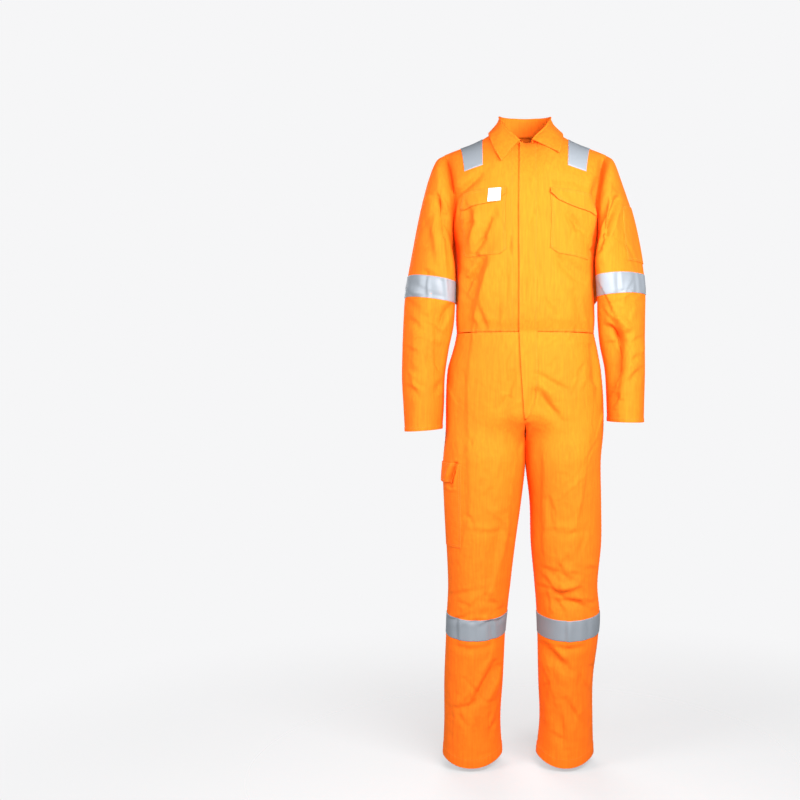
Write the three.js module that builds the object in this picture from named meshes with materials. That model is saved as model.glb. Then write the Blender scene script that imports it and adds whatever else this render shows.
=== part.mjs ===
// A boiler suit of orange cotton: bodice, set-in sleeves and trousers in one garment, closed down the
// front by a zip under a placket, with a turned-down collar, chest pockets with flaps, a thigh pocket,
// a sleeve pocket and bands of reflective tape. It hangs in the hollow shape that a wearer gives it.
//
// Millimetres. +Z is up, the front faces -Y and the wearer's left is +X. The origin lies on the line
// of the shoulders, in the middle of the neck, where the wearer holds the suit up.
//
// Every panel is a grid on a smooth surface: u runs round the body and v runs along it. The grid is
// the outside of the cloth, and the wall is made by moving its points inwards. What is sewn on a
// panel uses the same grid points, moved outwards, so that it lies on the panel with an even gap.

import * as THREE from "three";

// Cloth and seams
const SEAM_GAP = 0.3;
const BODY_CLOTH = 1.6;
const POCKET_CLOTH = 1.4;
const COLLAR_CLOTH = 1.8;
const TAPE = 1;
const ZIP_TAPE = 1.8;
const BACK_TO_BACK = 0.3; // least cosine between two panels that share a slanted seam
// Exponents of the rounded sections: 2 is an ellipse, and more is squarer
const ROUNDNESS = 2.3;
const SLEEVE_ROUNDNESS = 2.2;
const LEG_ROUNDNESS = { right: 2.15, left: 1.9 }; // the left leg keeps a sharper front crease
const LEG_WIDTH_ROUNDNESS = 2.15;
const CHEST_ROUNDNESS = { centre: 1.45, side: 2 }; // where the chest turns over to the shoulders

// Heights of the main seams
const WAIST_Z = -475;
const ARMPIT_Z = -246;
const CHEST_EDGE_Z = -168; // where the armhole reaches furthest forward
const CHEST_CENTRE_Z = -143; // the same level at the front edge, which is also the top of the flaps
const BACK_CENTRE_Z = -132;
const CROTCH_Z = -780;
const FORK_TOP_Z = -660; // where the front starts to divide into two legs
const FLY_END_Z = -675;
const HEM_Z = -1475;

// Neck and shoulders
const NECK = { halfWidth: 78, front: 62, back: 70, sideZ: 4, frontZ: -36, backZ: 10 };
const SHOULDER_TIP = { x: 195, z: -48 };
const SHOULDER_SAG = 9;
const ARMHOLE_REACH = { front: 70, back: 66 };

// Sections of the bodice from the waist seam to the chest
const BODICE = [
  { z: -475, halfWidth: 164, front: 107, back: 92 },
  { z: -445, halfWidth: 166, front: 119, back: 101 },
  { z: -400, halfWidth: 165, front: 126, back: 106 },
  { z: -320, halfWidth: 164, front: 131, back: 114 },
  { z: -246, halfWidth: 171, front: 132, back: 120 },
  { z: -168, halfWidth: 189, front: 126, back: 122 },
  { z: -118, halfWidth: 194, front: 120, back: 120 },
];

// Sections of each sleeve below the armhole: its outer edge, its inner edge, how far it reaches to
// front and back, and how far its front leans in over the bodice. The left elbow is bent more.
const SLEEVE = {
  right: [
    { outerX: 214, outerZ: -64, innerX: 174, innerZ: -259, front: 80, back: 74, lean: 4 },
    { outerX: 234, outerZ: -112, innerX: 176, innerZ: -277, front: 84, back: 74, lean: 10 },
    { outerX: 252, outerZ: -186, innerX: 174, innerZ: -299, front: 84, back: 70, lean: 16 },
    { outerX: 266, outerZ: -262, innerX: 172, innerZ: -325, front: 82, back: 66, lean: 20 },
    { outerX: 279, outerZ: -336, innerX: 171, innerZ: -354, front: 79, back: 64, lean: 22 },
    { outerX: 287, outerZ: -388, innerX: 171, innerZ: -405, front: 76, back: 62, lean: 20 },
    { outerX: 292, outerZ: -448, innerX: 173, innerZ: -456, front: 74, back: 58, lean: 14 },
    { outerX: 295, outerZ: -512, innerX: 184, innerZ: -514, front: 76, back: 48, lean: 8 },
    { outerX: 296, outerZ: -580, innerX: 193, innerZ: -578, front: 80, back: 34, lean: 4 },
    { outerX: 292, outerZ: -648, innerX: 195, innerZ: -644, front: 80, back: 20, lean: 2 },
    { outerX: 288, outerZ: -708, innerX: 199, innerZ: -702, front: 80, back: 10, lean: 0 },
  ],
  left: [
    { outerX: 213, outerZ: -64, innerX: 174, innerZ: -257, front: 80, back: 74, lean: 6 },
    { outerX: 232, outerZ: -112, innerX: 177, innerZ: -273, front: 86, back: 74, lean: 16 },
    { outerX: 252, outerZ: -184, innerX: 178, innerZ: -292, front: 90, back: 68, lean: 28 },
    { outerX: 264, outerZ: -258, innerX: 179, innerZ: -315, front: 90, back: 62, lean: 36 },
    { outerX: 275, outerZ: -330, innerX: 180, innerZ: -342, front: 86, back: 58, lean: 36 },
    { outerX: 282, outerZ: -379, innerX: 179, innerZ: -391, front: 82, back: 56, lean: 30 },
    { outerX: 286, outerZ: -436, innerX: 175, innerZ: -440, front: 78, back: 54, lean: 18 },
    { outerX: 287, outerZ: -498, innerX: 178, innerZ: -498, front: 80, back: 46, lean: 8 },
    { outerX: 287, outerZ: -562, innerX: 190, innerZ: -560, front: 84, back: 32, lean: 4 },
    { outerX: 285, outerZ: -626, innerX: 194, innerZ: -624, front: 86, back: 16, lean: 2 },
    { outerX: 283, outerZ: -686, innerX: 196, innerZ: -684, front: 86, back: 4, lean: 0 },
  ],
};
const CUFF_ROW = SLEEVE.right.length;
const SLEEVE_ROWS = [
  0, 0.35, 1, 1.6, 2.2, 2.8, 3.4, 4, 4.6, 5, 5.5, 6, 6.6, 7.2, 7.8, 8.4, 9, 9.6, 10.3, CUFF_ROW,
];
const SLEEVE_TAPE_ROWS = { from: 5, to: 6 };
const STRIP_TOP_TRIM = 0.2; // share of the top row that the placket and the zip stay below the neck
const SLEEVE_POCKET = { columns: [8, 12], rows: { from: 2.8, to: 4.6 } };

// Sections of the two legs: outer and inner edge, and how far they reach to front and back.
// frontDrop is how much lower the front of the section is than its sides.
const LEGS = {
  right: [
    { z: -475, outer: 164, inner: 0, front: 107, back: 92, frontDrop: 0 },
    { z: -510, outer: 172, inner: 0, front: 113, back: 105, frontDrop: 0 },
    { z: -560, outer: 186, inner: 0, front: 116, back: 120, frontDrop: 0 },
    { z: -630, outer: 190, inner: 0, front: 115, back: 130, frontDrop: 0 },
    { z: -710, outer: 191, inner: 0.6, front: 113, back: 127, frontDrop: 0 },
    { z: -780, outer: 197, inner: 1.2, front: 110, back: 117, frontDrop: 0 },
    { z: -875, outer: 194, inner: 10, front: 104, back: 104, frontDrop: 0 },
    { z: -975, outer: 189, inner: 24, front: 98, back: 93, frontDrop: 0 },
    { z: -1075, outer: 185, inner: 36, front: 93, back: 84, frontDrop: 0 },
    { z: -1144, outer: 188, inner: 44, front: 91, back: 81, frontDrop: 0 },
    { z: -1193, outer: 190, inner: 49, front: 89, back: 82, frontDrop: 0 },
    { z: -1300, outer: 194, inner: 54, front: 85, back: 84, frontDrop: 2 },
    { z: -1395, outer: 194, inner: 60, front: 82, back: 82, frontDrop: 7 },
    { z: -1475, outer: 197, inner: 56, front: 82, back: 80, frontDrop: 15 },
  ],
  left: [
    { z: -475, outer: 164, inner: 0, front: 107, back: 92, frontDrop: 0 },
    { z: -510, outer: 172, inner: 0, front: 113, back: 105, frontDrop: 0 },
    { z: -560, outer: 181, inner: 0, front: 116, back: 120, frontDrop: 0 },
    { z: -630, outer: 187, inner: 0, front: 115, back: 130, frontDrop: 0 },
    { z: -710, outer: 187, inner: 0.6, front: 113, back: 127, frontDrop: 0 },
    { z: -780, outer: 181, inner: 1.2, front: 110, back: 117, frontDrop: 0 },
    { z: -875, outer: 182, inner: 10, front: 104, back: 104, frontDrop: 0 },
    { z: -975, outer: 182, inner: 13, front: 99, back: 93, frontDrop: 0 },
    { z: -1075, outer: 173, inner: 22, front: 95, back: 84, frontDrop: 0 },
    { z: -1144, outer: 178, inner: 27, front: 94, back: 81, frontDrop: 0 },
    { z: -1193, outer: 175, inner: 29, front: 91, back: 82, frontDrop: 0 },
    { z: -1300, outer: 162, inner: 31, front: 85, back: 84, frontDrop: 2 },
    { z: -1395, outer: 161, inner: 34, front: 82, back: 82, frontDrop: 7 },
    { z: -1475, outer: 163, inner: 26, front: 82, back: 80, frontDrop: 15 },
  ],
};
const LEG_ROWS_Z = [
  WAIST_Z, -510, -545, -585, -630, FLY_END_Z, -710, -745, CROTCH_Z, -826, -875, -924, -978, -1028,
  -1075, -1110, -1144, -1193, -1240, -1290, -1345, -1408, HEM_Z,
];
const LEG_TAPE_Z = { from: -1193, to: -1144 };
const THIGH_POCKET = { topZ: CROTCH_Z, flapZ: -826, bottomZ: -978 };

// The collar, from each front end (first row) round to the centre back (last row): the column of the
// neckline that it rises from, its fold, its lower edge, and how far its leaf bulges between them.
const COLLAR = {
  right: [
    { neck: ["front", 0.055], fold: [13, -67, -26], edge: [55, -121, -84], bulge: 5 },
    { neck: ["front", 0.108], fold: [25, -63, -14], edge: [60, -116, -74], bulge: 6 },
    { neck: ["front", 0.17], fold: [37, -56, -2], edge: [68, -107, -60], bulge: 6 },
    { neck: ["front", 0.223], fold: [47, -45, 12], edge: [76, -90, -42], bulge: 5 },
    { neck: ["front", 0.27], fold: [55, -28, 30], edge: [85, -58, -14], bulge: 3 },
    { neck: ["front", 0.311], fold: [61, 0, 44], edge: [88, -4, 4], bulge: 2 },
    { neck: ["back", 0.27], fold: [57, 27, 49], edge: [85, 46, -6], bulge: 3 },
    { neck: ["back", 0.223], fold: [48, 43, 51], edge: [73, 70, -11], bulge: 4 },
    { neck: ["back", 0.17], fold: [37, 53, 52], edge: [57, 86, -14], bulge: 4 },
    { neck: ["back", 0.108], fold: [24, 59, 53], edge: [38, 94, -17], bulge: 4 },
    { neck: ["back", 0.055], fold: [12, 62, 53], edge: [19, 97, -18], bulge: 4 },
    { neck: ["back", 0], fold: [0, 63, 53], edge: [0, 98, -18], bulge: 4 },
  ],
  left: [
    { neck: ["front", 0.055], fold: [16, -69, -25], edge: [80, -108, -62], bulge: 4 },
    { neck: ["front", 0.108], fold: [26, -65, -13], edge: [83, -102, -52], bulge: 5 },
    { neck: ["front", 0.17], fold: [37, -57, -1], edge: [86, -92, -40], bulge: 5 },
    { neck: ["front", 0.223], fold: [47, -45, 12], edge: [88, -77, -28], bulge: 5 },
    { neck: ["front", 0.27], fold: [55, -28, 28], edge: [89, -50, -12], bulge: 3 },
    { neck: ["front", 0.311], fold: [59, 0, 43], edge: [88, -4, 4], bulge: 2 },
    { neck: ["back", 0.27], fold: [57, 27, 49], edge: [85, 46, -6], bulge: 3 },
    { neck: ["back", 0.223], fold: [48, 43, 51], edge: [73, 70, -11], bulge: 4 },
    { neck: ["back", 0.17], fold: [37, 53, 52], edge: [57, 86, -14], bulge: 4 },
    { neck: ["back", 0.108], fold: [24, 59, 53], edge: [38, 94, -17], bulge: 4 },
    { neck: ["back", 0.055], fold: [12, 62, 53], edge: [19, 97, -18], bulge: 4 },
    { neck: ["back", 0], fold: [0, 63, 53], edge: [0, 98, -18], bulge: 4 },
  ],
};
const STAND_STEPS = 3;
const LEAF_STEPS = [0, 0.12, 0.35, 0.65, 1];

// Columns of the bodice and of the trousers, from the centre front or back (0) to the side seam (1).
// They hold the edges of all that is sewn on.
const PLACKET_RIGHT_U = 0.055;
const PLACKET_LEFT_U = 0.108;
const RIGHT_POCKET_U = { from: 0.17, to: 0.668 };
const LEFT_POCKET_U = { from: 0.223, to: 0.757 };
const NECK_U = 0.311; // the column that ends where the shoulder seam meets the neck
const PATCH_U = { from: LEFT_POCKET_U.from, to: 0.345 };
const SHOULDER_TAPE_U = { from: 0.395, to: 0.615 };
const COLUMNS = [
  0, PLACKET_RIGHT_U, PLACKET_LEFT_U, RIGHT_POCKET_U.from, LEFT_POCKET_U.from, 0.27, NECK_U, PATCH_U.to,
  SHOULDER_TAPE_U.from, 0.5, SHOULDER_TAPE_U.to, RIGHT_POCKET_U.to, LEFT_POCKET_U.to, 0.88, 1,
];
const THIGH_POCKET_U = { from: RIGHT_POCKET_U.to / 2, to: 1 - LEFT_POCKET_U.to / 2 };

// Rows of the bodice, from the waist seam (0) to the chest (1) and on to the shoulder seam (2)
const ARMPIT_ROW = (ARMPIT_Z - WAIST_Z) / (CHEST_EDGE_Z - WAIST_Z);
const POCKET_BOTTOM_ROW = 0.533;
const FLAP_BOTTOM_ROW = 0.868;
const PATCH_BOTTOM_ROW = 0.904;
const POCKET_TOP_ROW = 0.952;
const CHEST_ROW = 1;
const TAPE_END_ROW = 1.28;
const ZIP_TOP_ROW = 1.81;
const SHOULDER_ROW = 2;
const ROWS = [
  0, 0.1, 0.21, 0.32, 0.42, POCKET_BOTTOM_ROW, 0.6, 0.675, ARMPIT_ROW, 0.807, FLAP_BOTTOM_ROW,
  PATCH_BOTTOM_ROW, POCKET_TOP_ROW, CHEST_ROW, TAPE_END_ROW, 1.46, 1.64, ZIP_TOP_ROW, SHOULDER_ROW,
];
const ARMHOLE_ROWS = ROWS.filter((row) => row >= ARMPIT_ROW);

// The largest folds: seen from which side, where they start and end (across, up), how high they
// stand (a trough is below 0) and how wide they are.
const FOLDS = [
  { seen: "front", from: [-95, -103], to: [-182, -158], height: -5, width: 15 },
  { seen: "front", from: [-74, -203], to: [-122, -293], height: -5, width: 14 },
  { seen: "front", from: [-103, -222], to: [-146, -300], height: 4, width: 16 },
  { seen: "front", from: [-103, -311], to: [-140, -440], height: -6, width: 16 },
  { seen: "front", from: [-66, -270], to: [-112, -440], height: 4, width: 20 },
  { seen: "front", from: [87, -189], to: [138, -242], height: -4, width: 14 },
  { seen: "front", from: [87, -304], to: [134, -344], height: -5, width: 15 },
  { seen: "front", from: [171, -113], to: [158, -174], height: -5, width: 12 },
  { seen: "front", from: [223, -140], to: [166, -276], height: -7, width: 14 },
  { seen: "front", from: [-208, -150], to: [-192, -240], height: -5, width: 16 },
  { seen: "front", from: [234, -483], to: [203, -623], height: -10, width: 18 },
  { seen: "front", from: [182, -460], to: [240, -486], height: -6, width: 14 },
  { seen: "front", from: [-218, -439], to: [-204, -563], height: -8, width: 18 },
  { seen: "front", from: [31, -614], to: [80, -671], height: -6, width: 13 },
  { seen: "front", from: [31, -573], to: [86, -601], height: -4, width: 12 },
  { seen: "front", from: [-23, -572], to: [-58, -657], height: -4, width: 14 },
  { seen: "front", from: [31, -760], to: [31, -1034], height: -4, width: 14 },
  { seen: "front", from: [55, -1070], to: [118, -1064], height: 5, width: 12 },
  { seen: "front", from: [70, -1096], to: [145, -1114], height: -5, width: 14 },
  { seen: "front", from: [-51, -900], to: [-86, -1079], height: -5, width: 16 },
  { seen: "front", from: [-72, -1249], to: [-126, -1347], height: -7, width: 16 },
  { seen: "front", from: [44, -1210], to: [96, -1250], height: -6, width: 15 },
  { seen: "back", from: [-150, -170], to: [-40, -270], height: -5, width: 18 },
  { seen: "back", from: [150, -170], to: [46, -282], height: -5, width: 18 },
  { seen: "back", from: [-110, -432], to: [96, -424], height: 5, width: 18 },
  { seen: "back", from: [-30, -720], to: [-120, -810], height: -6, width: 18 },
  { seen: "back", from: [28, -724], to: [124, -820], height: -6, width: 18 },
  { seen: "back", from: [-60, -1050], to: [-160, -1082], height: -6, width: 16 },
  { seen: "back", from: [44, -1044], to: [150, -1080], height: -6, width: 16 },
  { seen: "back", from: [-268, -410], to: [-200, -440], height: -6, width: 15 },
  { seen: "back", from: [268, -400], to: [200, -432], height: -6, width: 15 },
];
const FOLD_END_SHARE = 0.4; // how much of its height a fold still has at its two ends
const CALM_MARGIN = 0.2; // over this share of u and v the folds fade towards the armhole
const FACING = {
  front: (normal) => -normal.y,
  back: (normal) => normal.y,
};

const ORANGE = { color: 0xf5821f, roughness: 0.85, metalness: 0 };
const SILVER = { color: 0xb9bfc9, roughness: 0.5, metalness: 0.1 };
const WHITE = { color: 0xf4f4f6, roughness: 0.8, metalness: 0 };
const ZIP_FINISH = { color: 0xc9792a, roughness: 0.6, metalness: 0 };

const mix = (a, b, t) => a + (b - a) * t;
const clamp = (x) => Math.min(1, Math.max(0, x));
const ease = (x) => clamp(x) ** 2 * (3 - 2 * clamp(x));
const signedPower = (x, power) => Math.sign(x) * Math.abs(x) ** power;
const quarter = (t) => Math.sin((Math.PI / 2) * t);

// A value between the rows of a list, on a curve with no corners through all of them.
function smooth(values, at) {
  const last = values.length - 1;
  const i = Math.min(last - 1, Math.max(0, Math.floor(at)));
  const t = at - i;
  const [p1, p2] = [values[i], values[i + 1]];
  const p0 = i > 0 ? values[i - 1] : 2 * p1 - p2;
  const p3 = i + 2 <= last ? values[i + 2] : 2 * p2 - p1;
  return p1 + 0.5 * t * (p2 - p0 + t * (2 * p0 - 5 * p1 + 4 * p2 - p3 + t * (3 * (p1 - p2) + p3 - p0)));
}

// Where a height lies between the rows of a table, as a row number with a fraction.
function rowAt(table, z) {
  const falling = table[0].z > table[1].z;
  let i = 0;
  while (i < table.length - 2 && (falling ? z < table[i + 1].z : z > table[i + 1].z)) i++;
  return i + (z - table[i].z) / (table[i + 1].z - table[i].z);
}
const column = (table, name, at) => smooth(table.map((row) => row[name]), at);

// How far a rounded section reaches at x, as a share of its depth.
const reach = (x, halfWidth) => Math.max(0, 1 - (x / halfWidth) ** ROUNDNESS) ** (1 / ROUNDNESS);

// The neckline and the shoulder seam, which end the bodice at the top
function topEdge(face, u) {
  const forward = face === "front" ? -1 : 1;
  if (u <= NECK_U) {
    const across = quarter(u) / quarter(NECK_U);
    const z = mix(face === "front" ? NECK.frontZ : NECK.backZ, NECK.sideZ, across ** 1.5);
    const y = forward * NECK[face] * Math.sqrt(Math.max(0, 1 - across * across));
    return new THREE.Vector3(NECK.halfWidth * across, y, z);
  }
  const along = (quarter(u) - quarter(NECK_U)) / (1 - quarter(NECK_U));
  const sag = SHOULDER_SAG * Math.sin(Math.PI * along) * (1 - along);
  const z = mix(NECK.sideZ, SHOULDER_TIP.z, along) - sag;
  return new THREE.Vector3(mix(NECK.halfWidth, SHOULDER_TIP.x, along), 0, z);
}

// The bodice below the chest: rounded sections that end at the side seam, or at the armhole above it
function chestPoint(face, u, v) {
  const centreZ = mix(WAIST_Z, face === "front" ? CHEST_CENTRE_Z : BACK_CENTRE_Z, v);
  const edgeZ = mix(WAIST_Z, CHEST_EDGE_Z, v);
  const z = mix(centreZ, edgeZ, u * u);
  const forward = face === "front" ? -1 : 1;
  const halfWidth = column(BODICE, "halfWidth", rowAt(BODICE, edgeZ));
  const depth = column(BODICE, face, rowAt(BODICE, z));
  const intoArmhole = clamp((edgeZ - ARMPIT_Z) / (CHEST_EDGE_Z - ARMPIT_Z));
  const edgeDepth = column(BODICE, face, rowAt(BODICE, edgeZ));
  const edgeReach = (ARMHOLE_REACH[face] * quarter(intoArmhole)) / edgeDepth;
  const edgeX = halfWidth * (1 - edgeReach ** ROUNDNESS) ** (1 / ROUNDNESS);
  const x = edgeX * quarter(u);
  return new THREE.Vector3(x, forward * depth * reach(x, halfWidth), z);
}

// The whole bodice: above the chest the cloth rounds over to the neckline and the shoulder seam
function bodice(face, u, v) {
  if (v <= CHEST_ROW) return chestPoint(face, u, v);
  const turn = (Math.PI / 2) * (v - CHEST_ROW);
  const fullness = mix(CHEST_ROUNDNESS.centre, CHEST_ROUNDNESS.side, ease(u / NECK_U));
  const rise = Math.sin(turn) ** (2 / fullness);
  const inward = 1 - Math.cos(turn) ** (2 / fullness);
  const below = chestPoint(face, u, CHEST_ROW);
  const above = topEdge(face, u);
  return new THREE.Vector3(
    mix(below.x, above.x, (rise + inward) / 2),
    mix(below.y, above.y, inward),
    mix(below.z, above.z, rise),
  );
}

// A sleeve: its first ring is the armhole, which has the bodice's own points. u goes from the
// underarm seam (0) over the front (0.25) to the outer arm (0.5) and back round.
function armhole(u) {
  const steps = ARMHOLE_ROWS.length - 1;
  const face = u <= 0.5 ? "front" : "back";
  const at = (u <= 0.5 ? u : 1 - u) * 2 * steps;
  const i = Math.min(steps - 1, Math.floor(at));
  return bodice(face, 1, mix(ARMHOLE_ROWS[i], ARMHOLE_ROWS[i + 1], at - i));
}

function sleeveRing(row, u) {
  const turn = 2 * Math.PI * u;
  const outward = (1 - signedPower(Math.cos(turn), 2 / SLEEVE_ROUNDNESS)) / 2;
  const depth = Math.sin(turn) > 0 ? row.front : row.back;
  const forward = signedPower(Math.sin(turn), 2 / SLEEVE_ROUNDNESS);
  return new THREE.Vector3(
    mix(row.innerX, row.outerX, outward) - row.lean * forward,
    -depth * forward,
    mix(row.innerZ, row.outerZ, outward),
  );
}

function sleeve(side, u, v) {
  const around = ((u % 1) + 1) % 1;
  const rings = [armhole(around), ...SLEEVE[side].map((row) => sleeveRing(row, around))];
  const at = (name) => smooth(rings.map((point) => point[name]), v);
  return new THREE.Vector3(at("x"), at("y"), at("z"));
}

// Half of the trousers: a half section of the hips that closes into a leg below the fork. u goes
// from the centre front or inner leg (0) to the side seam (0.5) and to the centre back (1).
function trouser(side, u, z) {
  const table = LEGS[side];
  const at = rowAt(table, z);
  const [outer, inner] = [column(table, "outer", at), column(table, "inner", at)];
  const depth = u <= 0.5 ? -column(table, "front", at) : column(table, "back", at);
  const hipX = outer * Math.sin(Math.PI * u);
  const hipY = depth * reach(hipX, outer);
  const turn = 2 * Math.PI * u;
  const power = 2 / LEG_ROUNDNESS[side];
  const legX = mix(inner, outer, (1 - signedPower(Math.cos(turn), 2 / LEG_WIDTH_ROUNDNESS)) / 2);
  const legY = depth * Math.abs(Math.sin(turn)) ** power;
  const forked = ease((FORK_TOP_Z - z) / (FORK_TOP_Z - CROTCH_Z));
  const drop = column(table, "frontDrop", at) * (u <= 0.5 ? Math.abs(Math.sin(turn)) : 0);
  return new THREE.Vector3(mix(hipX, legX, forked), mix(hipY, legY, forked), z - drop);
}

// The height of all the folds at a point of the cloth
function foldHeight(point, normal) {
  let height = 0;
  for (const fold of FOLDS) {
    const facing = ease(2 * FACING[fold.seen](normal));
    const [dx, dz] = [fold.to[0] - fold.from[0], fold.to[1] - fold.from[1]];
    const [px, pz] = [point.x - fold.from[0], point.z - fold.from[1]];
    const along = clamp((px * dx + pz * dz) / (dx * dx + dz * dz));
    const away = Math.hypot(px - along * dx, pz - along * dz) / fold.width;
    const fading = mix(FOLD_END_SHARE, 1, Math.sin(Math.PI * along));
    height += facing * fold.height * fading * Math.exp(-away * away);
  }
  return height;
}

// The point and outward normal of a surface that is given as a function of u and v
const STEP = { u: 0.004, v: 0.004 };
function normalOf(surface, u, v, stepV) {
  const [a, b] = [surface(u - STEP.u, v), surface(u + STEP.u, v)];
  const [c, d] = [surface(u, v - stepV), surface(u, v + stepV)];
  return b.sub(a).cross(d.sub(c)).normalize();
}

// A surface of one side of the body with its folds: x is given for the left side and turned over for
// the right, and the normal always points out of the garment. calm is 0 where a seam keeps the folds
// out, so that both panels meet on one line, and 1 where they have their full height.
function clothSurface(shape, side, { minU, maxU, minV, maxV, stepV, facing, calm }) {
  const sign = side === "left" ? 1 : -1;
  const plain = (u, v) => {
    const p = shape(clampTo(u, minU, maxU), clampTo(v, minV, maxV));
    return p.setX(p.x * sign);
  };
  const outward = (surface, u, v) => {
    const [uu, vv] = [inset(u, minU, maxU, STEP.u), inset(v, minV, maxV, stepV)];
    return normalOf(surface, uu, vv, stepV).multiplyScalar(facing * sign);
  };
  const folded = (u, v) => {
    const p = plain(u, v);
    const n = outward(plain, u, v);
    return p.addScaledVector(n, foldHeight(p, n) * calm(u, v));
  };
  return (u, v) => ({ p: folded(u, v), n: outward(folded, u, v) });
}
const clampTo = (x, low, high) => Math.min(high, Math.max(low, x));
const inset = (x, low, high, step) => clampTo(x, low + step, high - step);

const bodiceSurface = (side, face) =>
  clothSurface((u, v) => bodice(face, u, v), side, {
    minU: 0, maxU: 1, minV: 0, maxV: SHOULDER_ROW, stepV: STEP.v, facing: face === "front" ? 1 : -1,
    calm: (u, v) => {
      const nearArmhole = ease((v - ARMPIT_ROW + CALM_MARGIN) / CALM_MARGIN);
      return 1 - nearArmhole * (1 - ease((1 - u) / CALM_MARGIN));
    },
  });
const sleeveSurface = (side) =>
  clothSurface((u, v) => sleeve(side, u, v), side, {
    minU: -1, maxU: 2, minV: 0, maxV: CUFF_ROW, stepV: STEP.v, facing: -1,
    calm: (u, v) => ease(v),
  });
const trouserSurface = (side) =>
  clothSurface((u, z) => trouser(side, u, z), side, {
    minU: 0, maxU: 1, minV: HEM_Z, maxV: WAIST_Z, stepV: 1, facing: 1, calm: () => 1,
  });

// A grid of points on a surface: one list for each v, with a point for each u
const gridOf = (surface, us, vs) => vs.map((v) => us.map((u) => ({ u, v, ...surface(u, v) })));

// Gives the points of two edges that are sewn together one direction for their thickness, so that
// both walls end on the same slanted line at the seam. Under the arm the two panels lie back to back,
// and there each keeps its own.
function mitre(edgeA, edgeB) {
  edgeA.forEach((a, i) => {
    const b = edgeB[i];
    if (a.n.dot(b.n) < BACK_TO_BACK) return;
    const n = a.n.clone().add(b.n).normalize();
    a.n = b.n = n.divideScalar(n.dot(a.n));
  });
}
const columnOf = (grid, i) => grid.map((row) => row.at(i));

// Moves the edge points of a grid half a seam gap into the panel.
function seamed(grid, { sides = true, first = true, last = true } = {}) {
  const step = (from, to) => to.p.clone().sub(from.p).setLength(SEAM_GAP / 2);
  const lastRow = grid.length - 1;
  return grid.map((row, j) =>
    row.map((point, i) => {
      const p = point.p.clone();
      if (sides && i === 0) p.add(step(point, row[1]));
      if (sides && i === row.length - 1) p.add(step(point, row[i - 1]));
      if (first && j === 0) p.add(step(point, grid[1][i]));
      if (last && j === lastRow) p.add(step(point, grid[j - 1][i]));
      return { ...point, p };
    }),
  );
}

// Which diagonal divides a cell. It depends on the place in the panel alone, so that what is sewn on
// a panel has the panel's own faces, whatever way its grid runs.
function firstDiagonal([a, b, c, d], closing) {
  const across = (point) => Math.abs(point.u);
  const far = closing ? 1 : across(b);
  const falling = (far + across(a)) / 2 < 0.5;
  const rising = (far - across(a)) * (c.v - a.v) > 0;
  return falling === rising;
}

// Orders the two ends of a seam, so that the rims of both panels are divided along one diagonal.
const isHigher = (a, b) => a.z + 0.4 * a.x + 0.2 * a.y > b.z + 0.4 * b.x + 0.2 * b.y;

// A closed wall on a grid, from one distance along the normals to another. wrap joins the last
// column to the first, and cutCorners takes the corner triangles off the first row.
function wall(grid, low, high, { wrap = false, cutCorners = false } = {}) {
  const [rows, columns] = [grid.length, grid[0].length];
  const position = [];
  for (const distance of [high, low]) {
    for (const { p, n } of grid.flat()) position.push(...p.clone().addScaledVector(n, distance));
  }
  const faces = [];
  for (let j = 0; j < rows - 1; j++) {
    for (let i = 0; i < (wrap ? columns : columns - 1); i++) {
      const next = (i + 1) % columns;
      const [a, b] = [j * columns + i, j * columns + next];
      const [c, d] = [a + columns, b + columns];
      const corners = [grid[j][i], grid[j][next], grid[j + 1][i], grid[j + 1][next]];
      const cutFirst = cutCorners && j === 0 && i === 0;
      const cutLast = cutCorners && j === 0 && i === columns - 2;
      if (firstDiagonal(corners, wrap && next === 0)) {
        if (!cutFirst) faces.push([a, b, c]);
        faces.push([b, d, c]);
      } else {
        if (!cutLast) faces.push([a, b, d]);
        faces.push([a, d, c]);
      }
    }
  }
  const at = (k) => new THREE.Vector3().fromArray(position, 3 * k);
  const [a, b, c] = faces[0].map(at);
  const normal = grid.flat()[faces[0][0]].n;
  const flipped = b.sub(a).cross(c.sub(a)).dot(normal) < 0;
  const top = flipped ? faces.map(([i, j, k]) => [i, k, j]) : faces;
  const under = rows * columns;
  const index = top.flatMap(([i, j, k]) => [i, j, k, under + i, under + k, under + j]);
  const edges = new Set(top.flatMap(([i, j, k]) => [`${i},${j}`, `${j},${k}`, `${k},${i}`]));
  for (const edge of edges) {
    const [i, j] = edge.split(",").map(Number);
    if (edges.has(`${j},${i}`)) continue;
    if (isHigher(at(i), at(j))) index.push(i, under + i, j, j, under + i, under + j);
    else index.push(i, under + i, under + j, i, under + j, j);
  }
  const geometry = new THREE.BufferGeometry();
  geometry.setAttribute("position", new THREE.Float32BufferAttribute(position, 3));
  geometry.setIndex(index);
  geometry.computeVertexNormals();
  return geometry;
}

const suit = new THREE.Group();
function add(name, geometry, finish) {
  const mesh = new THREE.Mesh(geometry, new THREE.MeshStandardMaterial(finish));
  mesh.name = name;
  suit.add(mesh);
}

const between = (values, from, to) => values.filter((x) => x >= from - 1e-9 && x <= to + 1e-9);
const SIDES = ["right", "left"];
const onTop = (layers) => SEAM_GAP * (layers + 1) + POCKET_CLOTH * layers;

// Bodice fronts and back, trousers and sleeves: the grids of all that is seamed together
const SLEEVE_COLUMNS = 2 * (ARMHOLE_ROWS.length - 1);
const sleeveColumns = Array.from({ length: SLEEVE_COLUMNS }, (_, i) => i / SLEEVE_COLUMNS);
const trouserFrontColumns = COLUMNS.map((u) => u / 2);
const trouserBackColumns = [...COLUMNS].reverse().map((u) => 1 - u / 2);
const trouserColumns = [...trouserFrontColumns, ...trouserBackColumns.slice(1)];
const bodiceGrid = (side, face, us = COLUMNS, vs = ROWS) => gridOf(bodiceSurface(side, face), us, vs);

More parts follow.
